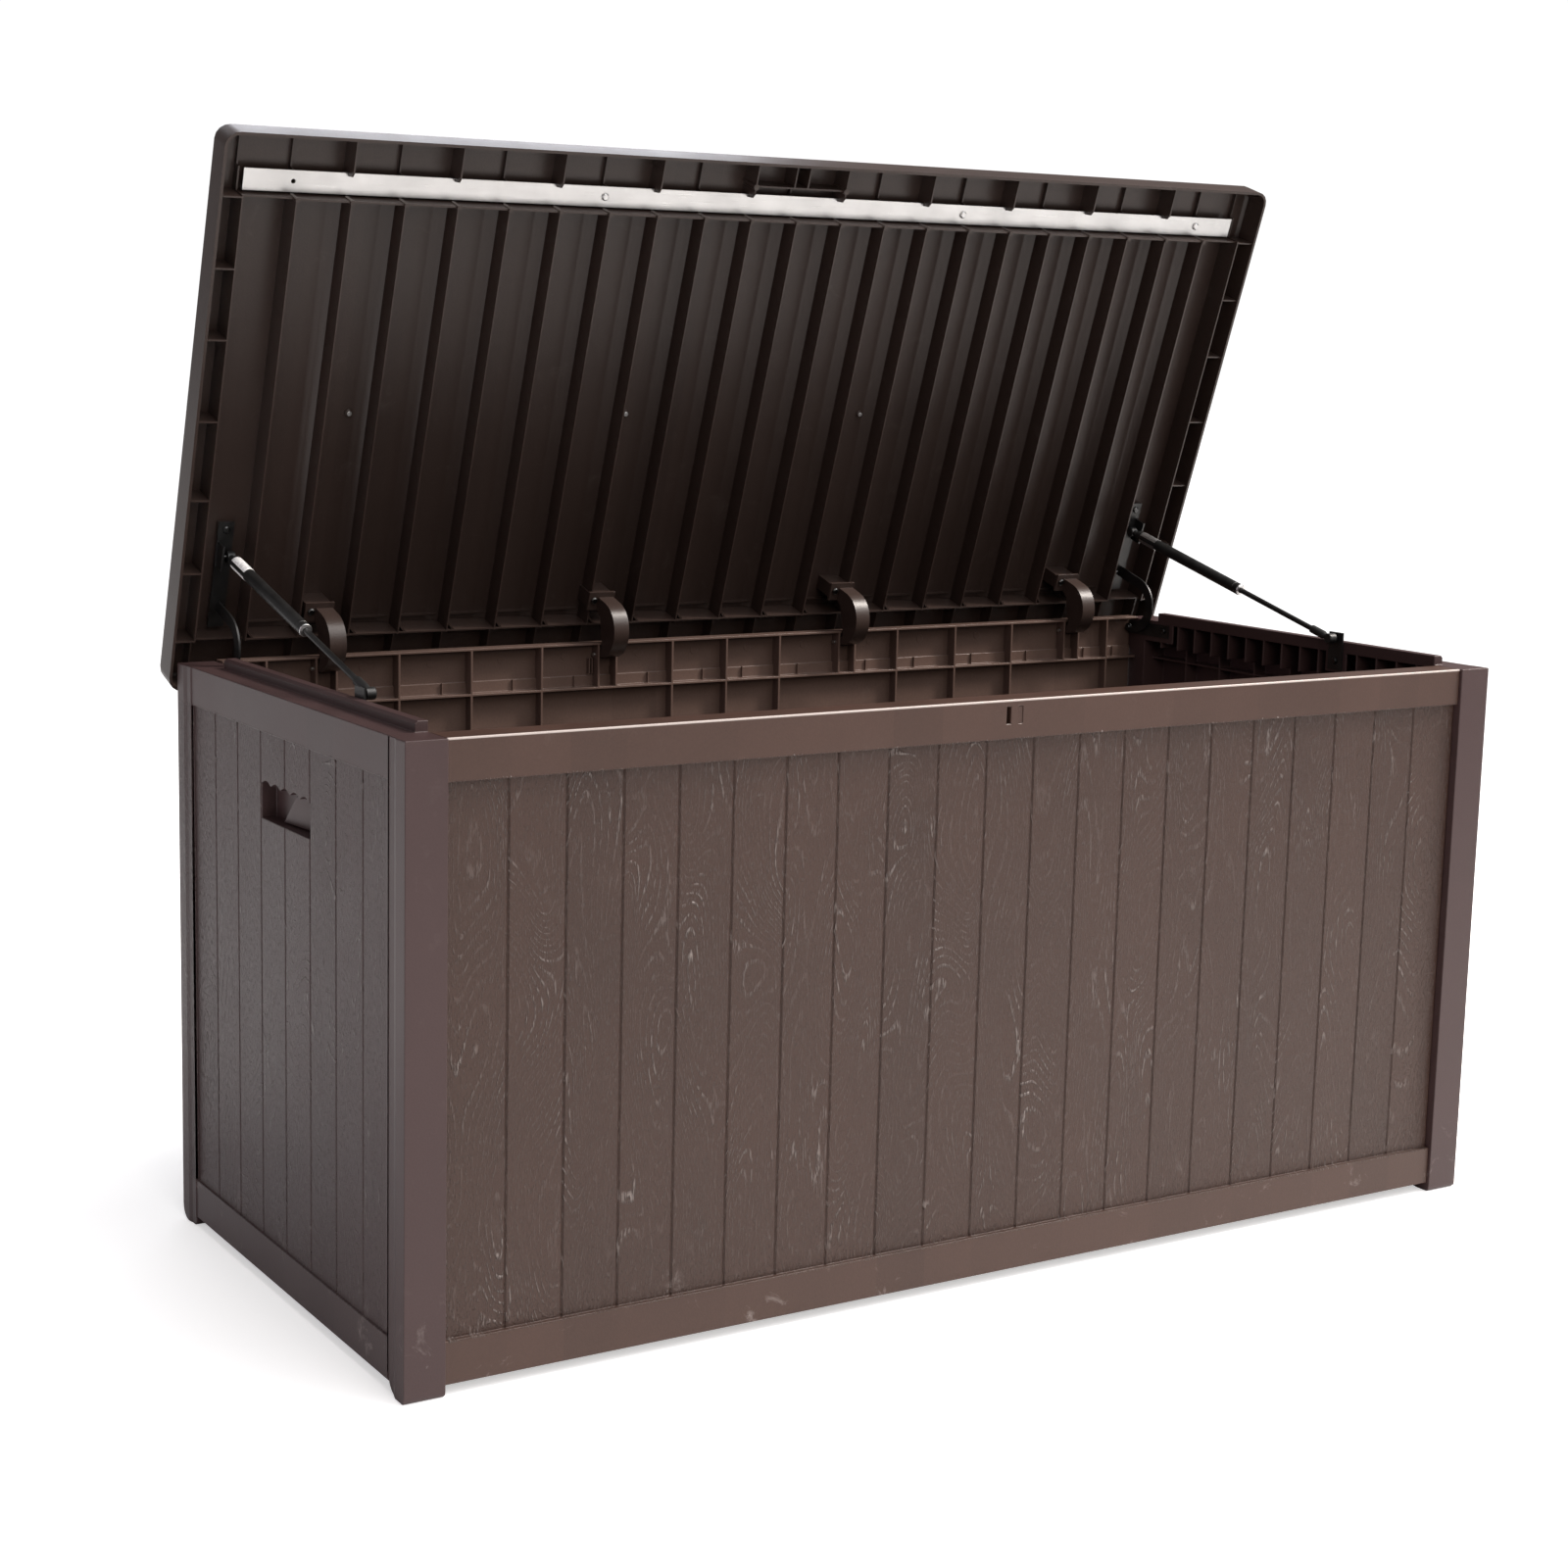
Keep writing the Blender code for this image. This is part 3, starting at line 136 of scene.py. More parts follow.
def grained_resin(name, colour, across, pitch, half_run, planks_low, planks_high, phase=0.5,
                  skin=None, turn=None, plank_tone_under_painted_sheen=0.80, grain_wear_and_glint=0.50, painted_highlight_edge=None,
                  roughness=0.40):
    """Moulded polypropylene with wood grain embossed on its planks. The planks stand side by side
    along one axis and run up the other; each has its own grain, on the outer skin alone: skin is
    an axis, which way is out (0 for both ways) and the level where it starts. The mould's
    sandblast shows as a fine orange peel everywhere, and handling leaves pale scuffs low down."""
    made, tree, shader = new_material(name, IOR=1.49, Specular_IOR_Level=0.40)
    world_place = object_place(tree)
    place = world_place
    if turn:
        shifted = add(tree, "ShaderNodeVectorMath", {"operation": "SUBTRACT"}, i0=place, i1=turn[0])
        place = add(tree, "ShaderNodeVectorRotate", {"rotation_type": "X_AXIS"},
                    Vector=shifted.outputs[0], Angle=turn[1]).outputs[0]
    axes = add(tree, "ShaderNodeSeparateXYZ", i0=place).outputs
    side = axes["XYZ".index(across)]
    run = axes[1 if turn else 2]
    index = maths(tree, "FLOOR", maths(tree, "MULTIPLY_ADD", side, 1 / pitch, phase))
    chance = add(tree, "ShaderNodeTexWhiteNoise", {"noise_dimensions": "1D"}, W=index)
    dice = add(tree, "ShaderNodeSeparateColor", i0=chance.outputs["Color"]).outputs
    # flame grain: level lines of a noise drawn out along the plank, about 4 mm apart
    long_run = maths(tree, "MULTIPLY_ADD", run, 0.26, maths(tree, "MULTIPLY", dice[0], 9.0))
    wide = maths(tree, "MULTIPLY_ADD", side, 1.0, maths(tree, "MULTIPLY", dice[1], 9.0))
    flame_place = add(tree, "ShaderNodeCombineXYZ", i0=wide, i1=index, i2=long_run).outputs[0]
    flame = add(tree, "ShaderNodeTexNoise", Vector=flame_place, Scale=12.0, Detail=0.6,
                Roughness=0.4, Distortion=0.5).outputs["Fac"]
    ripple = maths(tree, "SINE", maths(tree, "MULTIPLY", flame, 250.0))
    line = add(tree, "ShaderNodeMapRange", {"interpolation_type": "SMOOTHSTEP"}, Value=ripple,
               From_Min=0.55, From_Max=0.97).outputs[0]
    # the lines are broken into strokes of 5 to 20 mm, 1 mm wide
    dash_place = add(tree, "ShaderNodeCombineXYZ", i0=side, i1=index,
                     i2=maths(tree, "MULTIPLY", run, 0.16)).outputs[0]
    dash = add(tree, "ShaderNodeTexNoise", Vector=dash_place, Scale=430.0, Detail=1.5,
               Roughness=0.6).outputs["Fac"]
    dash = add(tree, "ShaderNodeMapRange", {"interpolation_type": "SMOOTHSTEP"}, Value=dash,
               From_Min=0.44, From_Max=0.58).outputs[0]
    # the pattern is strong in patches and all but gone between them
    patch_place = add(tree, "ShaderNodeCombineXYZ", i0=wide, i1=index,
                      i2=maths(tree, "MULTIPLY", run, 0.40)).outputs[0]
    patch = add(tree, "ShaderNodeTexNoise", Vector=patch_place, Scale=17.0,
                Detail=1.0).outputs["Fac"]
    patch = add(tree, "ShaderNodeMapRange", {"interpolation_type": "SMOOTHSTEP"}, Value=patch,
                From_Min=0.48, From_Max=0.70, To_Min=0.14).outputs[0]
    strokes = maths(tree, "MULTIPLY", maths(tree, "MULTIPLY", line, dash), patch)
    # pores: short strokes along the plank, 0.8 mm wide, thick and thin by turns across it
    pores = add(tree, "ShaderNodeTexNoise", Vector=dash_place, Scale=800.0, Detail=2.0,
                Roughness=0.65).outputs["Fac"]
    pores = add(tree, "ShaderNodeMapRange", {"interpolation_type": "SMOOTHSTEP"}, Value=pores,
                From_Min=0.53, From_Max=0.68).outputs[0]
    on_planks = maths(tree, "MULTIPLY", band(tree, run, planks_low, planks_high, 0.003),
                      band(tree, maths(tree, "ABSOLUTE", side), -1.0, half_run, 0.002))
    if skin:
        out = axes["XYZ".index(skin[0])]
        out = maths(tree, "MULTIPLY", out, skin[1]) if skin[1] else maths(tree, "ABSOLUTE", out)
        on_planks = maths(tree, "MULTIPLY", on_planks, maths(tree, "GREATER_THAN", out, skin[2]))
    strokes = maths(tree, "MULTIPLY", strokes, on_planks)
    pores = maths(tree, "MULTIPLY", pores, on_planks)
    grain = maths(tree, "MULTIPLY_ADD", pores, 0.30, strokes)
    peel = add(tree, "ShaderNodeTexNoise", Vector=place, Scale=420.0, Detail=2.0).outputs["Fac"]
    relief = add(tree, "ShaderNodeBump", Strength=1.0, Distance=0.0024, Height=grain)
    fine = add(tree, "ShaderNodeBump", Strength=0.30, Distance=0.0004, Height=peel,
               Normal=relief.outputs[0])
    tree.links.new(fine.outputs[0], shader.inputs["Normal"])
    # colour: slow mottling of the pigment, a little different on each plank; raised strokes are
    # painted paler, partly as wear and partly as painted glints where the light catches them
    mottle = add(tree, "ShaderNodeTexNoise", Vector=place, Scale=6.0, Detail=4.0,
                 Roughness=0.55).outputs["Fac"]
    shade = maths(tree, "MULTIPLY_ADD", mottle, 0.34, 0.80)
    shade = maths(tree, "MULTIPLY_ADD", maths(tree, "SUBTRACT", dice[2], 0.5), 0.12, shade)
    shade = maths(tree, "MULTIPLY_ADD", maths(tree, "SUBTRACT", peel, 0.5), 0.28, shade)
    # painted sheen: the smooth rails are painted lighter than the matt planks, standing in for the
    # sheen they catch
    shade = maths(tree, "MULTIPLY", shade, maths(tree, "MULTIPLY_ADD", on_planks,
                                                 plank_tone_under_painted_sheen - 1, 1.04))
    base = add(tree, "ShaderNodeVectorMath", {"operation": "SCALE"}, i0=srgb(colour)[:3],
               Scale=shade).outputs[0]
    if painted_highlight_edge:
        # painted highlight: the top front edge is painted pale, standing in for the bright line of
        # light along its rounded edge
        edge = maths(tree, "MULTIPLY", band(tree, run, painted_highlight_edge[0], 9.0, 0.0012),
                     band(tree, maths(tree, "ABSOLUTE", axes[1]), painted_highlight_edge[1], 9.0, 0.0012))
        base = add(tree, "ShaderNodeMix", {"data_type": "RGBA"}, i6=base, i7=srgb("#DDD3CE"),
                   Factor=maths(tree, "MULTIPLY", edge, 0.62)).outputs[2]
    # painted glints: strokes and pores are mixed towards pale grey, partly worn and partly standing
    # in for the glints they catch
    wear_and_glint = maths(tree, "MULTIPLY_ADD", pores, 0.16, maths(tree, "MULTIPLY", strokes, grain_wear_and_glint))
    base = add(tree, "ShaderNodeMix", {"data_type": "RGBA"}, Factor=wear_and_glint, i6=base,
               i7=srgb("#A29894")).outputs[2]
    # scuffs: thin pale rubs, mostly on the lowest 120 mm
    rub = add(tree, "ShaderNodeTexNoise", Vector=world_place, Scale=22.0, Detail=6.0,
              Roughness=0.72, Distortion=0.6).outputs["Fac"]
    rub = add(tree, "ShaderNodeMapRange", Value=rub, From_Min=0.60, From_Max=0.74).outputs[0]
    height = add(tree, "ShaderNodeSeparateXYZ", i0=world_place).outputs[2]
    low_down = add(tree, "ShaderNodeMapRange", Value=height, From_Min=0.02, From_Max=0.13,
                   To_Min=0.40, To_Max=0.03).outputs[0]
    worn = maths(tree, "MULTIPLY", rub, low_down)
    mixed = add(tree, "ShaderNodeMix", {"data_type": "RGBA"}, Factor=worn, i6=base,
                i7=srgb("#B9AFAB")).outputs[2]
    tree.links.new(mixed, shader.inputs["Base Color"])
    gloss = maths(tree, "MULTIPLY_ADD", mottle, 0.16, roughness - 0.08)
    gloss = maths(tree, "MULTIPLY_ADD", strokes, -0.14, gloss)
    tree.links.new(maths(tree, "MULTIPLY_ADD", worn, 0.3, gloss), shader.inputs["Roughness"])
    return made


def finish_node(names, material):
    """Gives CAD nodes their finish."""
    for name in names:
        node = frame["nodes"][name]
        node.data.materials.clear()
        node.data.materials.append(material)


def round_edges(names, width, segments=3, angle=50):
    """Rounds the moulded edges of CAD nodes, after joining the flat triangles between them."""
    for name in names:
        node = frame["nodes"][name]
        node.modifiers.new("weld_corners", "WELD").merge_threshold = 0.00002
        join = node.modifiers.new("join_flats", "DECIMATE")
        join.decimate_type = "DISSOLVE"
        join.angle_limit = math.radians(0.5)
        bevel = node.modifiers.new("edge_round", "BEVEL")
        bevel.width = width
        bevel.segments = segments
        bevel.limit_method = "ANGLE"
        bevel.angle_limit = math.radians(angle)
        bevel.use_clamp_overlap = False


def extrude(mesh, outline, place, low, high):
    """Adds an outline of (a, b) points, pushed from c = low to high; place(a, b, c) is a point."""
    near = [mesh.verts.new(place(a, b, low)) for a, b in outline]
    far = [mesh.verts.new(place(a, b, high)) for a, b in outline]
    mesh.faces.new(near)
    mesh.faces.new(far)
    for i in range(len(outline)):
        j = (i + 1) % len(outline)
        mesh.faces.new((near[i], near[j], far[j], far[i]))


def box_of(x0, x1, z0, z1):
    """The outline of a rectangle."""
    return [(x0, z0), (x1, z0), (x1, z1), (x0, z1)]


def ring_of(x, z, radius, step):
    """The outline of a circle, with a point every step degrees."""
    return [(x + radius * math.cos(math.radians(a)), z + radius * math.sin(math.radians(a)))
            for a in range(0, 360, step)]


def upright(a, b, c):
    """A place on an upright wall: a along the box, b up it, c through the wall."""
    return (a, c, b)


def make_piece(name, mesh, material, body, round_by=0.0):
    """Turns a bmesh into a piece that rides on a body."""
    bmesh.ops.recalc_face_normals(mesh, faces=mesh.faces)
    data = bpy.data.meshes.new(name)
    mesh.to_mesh(data)
    mesh.free()
    data.materials.clear()
    data.materials.append(material)
    if "custom_normal" in data.attributes:
        data.attributes.remove(data.attributes["custom_normal"])
    data.shade_smooth()
    data.set_sharp_from_angle(angle=math.radians(35))
    made = bpy.data.objects.new(name, data)
    bpy.context.scene.collection.objects.link(made)
    if round_by:
        bevel = made.modifiers.new("edge_round", "BEVEL")
        bevel.width = round_by
        bevel.segments = 2
        bevel.limit_method = "ANGLE"
    even = made.modifiers.new("even_shading", "WEIGHTED_NORMAL")
    even.keep_sharp = True
    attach(made, body)
    return made


def smooth_copy(starts, material, round_by=0.0):
    """Stands in for round CAD nodes with the same shape, welded and shaded smooth."""
    for name, node in frame["nodes"].items():
        if not name.startswith(starts):
            continue
        mesh = bmesh.new()
        mesh.from_mesh(node.data)
        bmesh.ops.remove_doubles(mesh, verts=mesh.verts, dist=0.00002)
        bmesh.ops.dissolve_limit(mesh, angle_limit=math.radians(0.5), verts=mesh.verts,
                                 edges=mesh.edges)
        body = next(word for word, empty in frame["bodies"].items() if empty == node.parent)
        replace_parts(make_piece(name + "_shaded", mesh, material, body, round_by), name)


front_resin = grained_resin("brown polypropylene, front planks", "#45322B", "X", PLANK_PITCH,
                            PLANKS_HALF, RAIL_BOTTOM, RAIL_TOP, skin=("Y", -1, FRONT_SKIN),
                            painted_highlight_edge=PAINTED_HIGHLIGHT_EDGE)
finish_node(["front_panel"], front_resin)
round_edges(["front_panel"], 0.0010)

# the right padlock slot isn't cut through: a blank closes it a little behind the rail's face
front_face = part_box("front_panel")[0][1]
mesh = bmesh.new()
extrude(mesh, box_of(*BLANK_SPAN, *BLANK_HEIGHTS), upright, front_face + BLANK_DEPTHS[0],
        front_face + BLANK_DEPTHS[1])
make_piece("lock_slot_blank", mesh, front_resin, "box")

# ------------------------------------------------------------------ side panels
# Each end is one moulding with its two corner posts, feet, hand recess and rain lip. A folded
# web stands in each hand recess.
SIDE_PITCH = 0.0724
SIDE_PHASE = 0.359           # share of a pitch from the box's origin to a groove
SIDE_PLANKS_HALF = 0.300
SIDE_SKIN = 0.758
BOX_MIDDLE_Y = -0.0259911    # the posts' middle along Y
RECESS_BACK = 0.7405         # inner face of a hand recess
WEB_RIDGE = 0.7505           # ridge of its web
WEB_LOW = 0.554
WEB_TOP = 0.590
side_panels = ["left_side_panel", "right_side_panel"]
side_resin = grained_resin("brown polypropylene, side planks", "#3F2F2F", "Y", SIDE_PITCH,
                           SIDE_PLANKS_HALF, RAIL_BOTTOM, RAIL_TOP, phase=SIDE_PHASE,
                           skin=("X", 0, SIDE_SKIN), plank_tone_under_painted_sheen=0.95, grain_wear_and_glint=0.30)
finish_node(side_panels, side_resin)
round_edges(side_panels, 0.0011)

for side, word in ((-1, "left"), (1, "right")):
    mesh = bmesh.new()
    for x, y, z in ((WEB_RIDGE, -0.0114, WEB_TOP), (WEB_RIDGE, 0.026, WEB_LOW),
                    (RECESS_BACK, -0.0070, WEB_TOP), (RECESS_BACK, 0.0305, WEB_LOW),
                    (RECESS_BACK, -0.0700, WEB_TOP), (RECESS_BACK, -0.0700, WEB_LOW)):
        mesh.verts.new((side * x, BOX_MIDDLE_Y + y, z))
    bmesh.ops.convex_hull(mesh, input=mesh.verts)
    make_piece(word + "_recess_web", mesh, side_resin, "box", 0.0010)

# ------------------------------------------------------------------ back panel
# The same moulding as the front, with the hinge cheeks inside its top edge. Ejector pins left
# round marks in its top bays, and thin ribs stand in the strip below them.
BACK_SKIN = 0.2985
BACK_RIB_PLACES = [-0.716, -0.660, -0.594, -0.568, -0.483, -0.382, -0.281, -0.197, -0.171,
                   -0.085, 0.0, 0.085, 0.183, 0.209, 0.281, 0.382, 0.483, 0.580, 0.606, 0.660,
                   0.716]
NARROW_BAY = 0.04            # bays narrower than this stay plain
RING_RADIUS = 0.0055         # ejector pin's mark
RING_HEIGHT = 0.683
THIN_RIB = 0.0006            # half a thin rib's thickness
THIN_RIB_HEIGHTS = (0.6425, 0.6575)
PRONG = 0.0008               # half a clip prong's thickness
SUNK = 0.0004                # how far these details reach into the wall
# painted light: this resin gets a lighter colour than the front's, standing in for the light that
# falls inside the box on the back wall
back_resin_painted_light = grained_resin("brown polypropylene, back planks, painted lighter", "#584740", "X", PLANK_PITCH,
                           PLANKS_HALF, RAIL_BOTTOM, RAIL_TOP, skin=("Y", 1, BACK_SKIN),
                           roughness=0.32)
finish_node(["back_panel"], back_resin_painted_light)
round_edges(["back_panel"], 0.0006)

inner_y = BOX_MIDDLE_Y + 0.3255
strip_y = BOX_MIDDLE_Y + 0.3225
mesh = bmesh.new()
for left, right in zip(BACK_RIB_PLACES, BACK_RIB_PLACES[1:]):
    if right - left < NARROW_BAY:
        continue
    ring = ring_of((left + right) / 2, RING_HEIGHT, RING_RADIUS, 15)
    extrude(mesh, ring, upright, inner_y - 0.0006, inner_y + SUNK)
    at = left + (right - left) * (0.64 if left < 0 else 0.38)
    extrude(mesh, box_of(at - THIN_RIB, at + THIN_RIB, *THIN_RIB_HEIGHTS), upright,
            strip_y - 0.0030, strip_y + 0.0005)
# a small two-pronged clip under the second gooseneck
for at in (-0.2055, -0.2015):
    extrude(mesh, box_of(at - PRONG, at + PRONG, 0.660, 0.680), upright, inner_y - 0.007,
            inner_y + SUNK)
make_piece("back_wall_ribs", mesh, back_resin_painted_light, "box", 0.0003)

# ------------------------------------------------------------------ base panel
# The same resin, moulded plain: a flat floor with ribs under it, held between the four walls.
plain_resin = grained_resin("brown polypropylene, plain inside", "#41342F", "X", PLANK_PITCH,
                            -1.0, 5.0, 6.0)
finish_node(["base_panel"], plain_resin)

# ------------------------------------------------------------------ lid
# A shallow tray moulding: planks on top, fins below. Each bay between two fins is a soft
# hollow, and every fin has a low step beside it where the mould's slides met.
hinge = next(joint for joint in frame["joints"] if joint["name"] == "lid_hinge")
LID_OPEN = math.radians(hinge["range_deg"][1])
LID_REAR = 0.031             # rear rim behind the hinge axis, lid closed
LID_RIM = 0.020              # rim above the axis
LID_SKIN = 0.0590            # planks' outer skin above the axis
COVE = 0.016                 # reach of the soft hollow's slope
STEP_AT = 0.013              # from a fin to its step
STEP = 0.0009                # its height
FIN_HALF = 0.0009            # half a fin's thickness, less what the hollow reaches into it
DECK = 0.0386                # inner face of the deck, inside the rim
BAY_FLOOR = 0.0377           # lowest of a soft hollow
BAY_RISE = 0.0048            # from there to its edges
BAY_ENDS = (0.0655, 0.6138)  # between the cross ribs, from the rear rim
FINS_EACH_SIDE = 10
SCREW_PLACES = (-0.566, -0.182, 0.182, 0.566)
SCREWS_FROM_REAR = 0.346
BOSS = (0.0052, 0.0352, 0.0380)              # radius, and from where to where inside the rim
SCREW = (0.0031, 0.0334, 0.0356)
lid_frame = Matrix.Translation(hinge["pos_m"]) @ Matrix.Rotation(-LID_OPEN, 4, "X")
# painted shade: this resin gets a darker colour than the front's, standing in for the shade under
# the open lid
lid_resin_painted_shade = grained_resin("brown polypropylene, lid, painted darker", "#342925", "X", PLANK_PITCH, 0.735,
                          -0.630, 0.002, skin=("Z", 1, LID_SKIN),
                          turn=(tuple(hinge["pos_m"]), LID_OPEN), roughness=0.34)
smooth_copy("lid_panel", lid_resin_painted_shade)
for number in range(1, 5):
    smooth_copy("gooseneck_%d" % number, lid_resin_painted_shade, 0.0009)


def in_lid(x, distance, height):
    """A place in the lid: x along it, distance from its rear rim, height inside the rim."""
    return lid_frame @ Vector((x, LID_REAR - distance, LID_RIM + height))


def across_lid(a, b, c):
    """The same place for an outline that is pushed from the rear rim to the front."""
    return in_lid(a, c, b)


mesh = bmesh.new()
for i in range(-FINS_EACH_SIDE, FINS_EACH_SIDE):
    left, right = i * PLANK_PITCH + FIN_HALF, (i + 1) * PLANK_PITCH - FIN_HALF
    outline = [(left, DECK)]
    for share in range(25):
        x = left + (right - left) * share / 24
        slope = max(0.0, 1 - min(x - left, right - x) / COVE)
        step = STEP if x > right - STEP_AT else 0.0
        outline.append((x, BAY_FLOOR - BAY_RISE * slope ** 2 - step))
    outline.append((right, DECK))
    extrude(mesh, outline, across_lid, *BAY_ENDS)
make_piece("lid_hollows", mesh, lid_resin_painted_shade, "lid")

# four small screws with round bosses half way up the lid
boss_mesh, screw_mesh = bmesh.new(), bmesh.new()
for x in SCREW_PLACES:
    for target, (radius, low, high) in ((boss_mesh, BOSS), (screw_mesh, SCREW)):
        extrude(target, ring_of(x, SCREWS_FROM_REAR, radius, 20), in_lid, low, high)
make_piece("lid_screw_bosses", boss_mesh, lid_resin_painted_shade, "lid", 0.0008)

# ------------------------------------------------------------------ stiffener bar
# Extruded aluminium flat, mill finish: fine lines along its length from the die.


def grey_shader(tree, shader, tone, roughness=None, relief=None, strength=0.0, distance=0.0002):
    """Gives a shader a grey of varying tone, a varying roughness and a fine relief."""
    grey = add(tree, "ShaderNodeCombineColor", i0=tone, i1=tone, i2=tone).outputs[0]
    tree.links.new(grey, shader.inputs["Base Color"])
    if roughness:
        tree.links.new(roughness, shader.inputs["Roughness"])
    if relief:
        bump = add(tree, "ShaderNodeBump", Strength=strength, Distance=distance, Height=relief)
        tree.links.new(bump.outputs[0], shader.inputs["Normal"])


mill_aluminium, tree, shader = new_material("mill-finish aluminium", Metallic=1.0, Roughness=0.32)
place = object_place(tree)
drawn = add(tree, "ShaderNodeVectorMath", {"operation": "MULTIPLY"}, i0=place,
            i1=(0.02, 1.0, 1.0)).outputs[0]
lines = add(tree, "ShaderNodeTexNoise", Vector=drawn, Scale=900.0, Detail=3.0).outputs["Fac"]
stain = add(tree, "ShaderNodeTexNoise", Vector=place, Scale=14.0, Detail=5.0).outputs["Fac"]
tone = add(tree, "ShaderNodeMapRange", Value=stain, From_Min=0.3, From_Max=0.7, To_Min=0.50,
           To_Max=0.62).outputs[0]
grey_shader(tree, shader, tone, maths(tree, "MULTIPLY_ADD", lines, 0.25, 0.20), lines, 0.15)
finish_node(["stiffener_bar"], mill_aluminium)

# ------------------------------------------------------------------ steel parts
# Brackets, plates, tubes and rods: pressed and drawn steel, powder coated satin black. The
# powder leaves a fine orange peel and slow changes of gloss.
powder_coat, tree, shader = new_material("black powder coat on steel", Roughness=0.36, IOR=1.5)
place = object_place(tree)
grit = add(tree, "ShaderNodeTexNoise", Vector=place, Scale=1400.0, Detail=2.0).outputs["Fac"]
slow = add(tree, "ShaderNodeTexNoise", Vector=place, Scale=60.0, Detail=3.0).outputs["Fac"]
ink = add(tree, "ShaderNodeMapRange", Value=slow, From_Min=0.3, From_Max=0.7, To_Min=0.006,
          To_Max=0.012).outputs[0]
grey_shader(tree, shader, ink, maths(tree, "MULTIPLY_ADD", slow, 0.2, 0.26), grit, 0.12)
finish_node(["hinge_plate_left", "hinge_plate_right", "strut_bracket_left",
             "strut_bracket_right"], powder_coat)
smooth_copy(("lid_bracket_left", "lid_bracket_right"), powder_coat, 0.0004)
smooth_copy(("hinge_rivet", "strut_rod", "strut_tube"), powder_coat)

# ------------------------------------------------------------------ nylon sockets
# The struts' ball sockets and pistons: glass-filled nylon, moulded black. The glass clouds
# the surface a little.
nylon, tree, shader = new_material("black glass-filled nylon", Roughness=0.45, IOR=1.53)
place = object_place(tree)
cloud = add(tree, "ShaderNodeTexNoise", Vector=place, Scale=300.0, Detail=3.0).outputs["Fac"]
ink = maths(tree, "MULTIPLY_ADD", cloud, 0.008, 0.005)
grey_shader(tree, shader, ink, relief=cloud, strength=0.2)
finish_node(["strut_piston_left", "strut_piston_right"], nylon)
smooth_copy(("strut_foot", "strut_head"), nylon)

# ------------------------------------------------------------------ fasteners
# Screws, pins and balls of cold-headed steel: bright zinc plate on some, and black oxide on
# those that hold the black parts. Both platings have a fine bloom.
zinc, tree, shader = new_material("zinc plate on steel", Metallic=1.0, Roughness=0.3)
place = object_place(tree)
bloom = add(tree, "ShaderNodeTexNoise", Vector=place, Scale=500.0, Detail=3.0).outputs["Fac"]
tone = maths(tree, "MULTIPLY_ADD", bloom, 0.3, 0.45)
grey_shader(tree, shader, tone, maths(tree, "MULTIPLY_ADD", bloom, 0.3, 0.2))
smooth_copy(("bar_screw", "hinge_pin", "strut_ball", "strut_guide"), zinc)
make_piece("lid_deck_screws", screw_mesh, zinc, "lid", 0.0006)

black_oxide, tree, shader = new_material("black oxide on steel", Metallic=1.0)
place = object_place(tree)
bloom = add(tree, "ShaderNodeTexNoise", Vector=place, Scale=500.0, Detail=3.0).outputs["Fac"]
tone = maths(tree, "MULTIPLY_ADD", bloom, 0.10, 0.02)
grey_shader(tree, shader, tone, maths(tree, "MULTIPLY_ADD", bloom, 0.3, 0.16))
smooth_copy(("gooseneck_screw", "hinge_plate_screw", "strut_bracket_screw", "strut_wall_stud",
             "lid_stud"), black_oxide)
smooth_copy("lid_bracket_screw", black_oxide)

# ------------------------------------------------------------------ strut sleeves
# A blank paper label is wrapped round the left tube near the lid, a silver one round the right,
# and each tube ends in a rolled steel cap round its rod.
STRUT_PLANE = 0.704          # plane in which each strut swings
STUD_FORWARD = 0.1372        # lid stud from the hinge axis, in the lid's own frame
STUD_RISE = 0.0395
TUBE_SURFACE = 0.0079        # just under the tube's own radius, so that a sleeve touches it
TUBE_END = 0.2468            # from the lid's ball
label_paper, tree, shader = new_material("white label paper", IOR=1.5)
place = object_place(tree)
crease = add(tree, "ShaderNodeTexNoise", Vector=place, Scale=260.0, Detail=4.0).outputs["Fac"]
tone = add(tree, "ShaderNodeMapRange", Value=crease, From_Min=0.35, From_Max=0.65, To_Min=0.55,
           To_Max=0.86).outputs[0]
grey_shader(tree, shader, tone, maths(tree, "MULTIPLY_ADD", crease, 0.3, 0.35), crease, 0.3,
            0.0003)
strut_joint = next(joint for joint in frame["joints"] if joint["name"] == "left_strut_slide")
strut_axis = Vector(strut_joint["axis"])


def lathe(mesh, profile, ball, axis, sides=32, start=0, stop=360):
    """Turns (radius, distance from the ball) points about a strut's line."""
    across = Vector((1, 0, 0))
    third = axis.cross(across)
    whole = stop - start >= 360
    steps = sides if whole else sides + 1
    rings = []
    for i in range(steps):
        angle = math.radians(start + (stop - start) * i / sides)
        out = across * math.cos(angle) + third * math.sin(angle)
        rings.append([mesh.verts.new(ball - axis * far + out * radius) for radius, far in profile])
    for i in range(sides):
        a, b = rings[i], rings[(i + 1) % steps]
        for j in range(len(profile)):
            k = (j + 1) % len(profile)
            mesh.faces.new((a[j], a[k], b[k], b[j]))
    if not whole:
        mesh.faces.new(rings[0])
        mesh.faces.new(rings[-1])


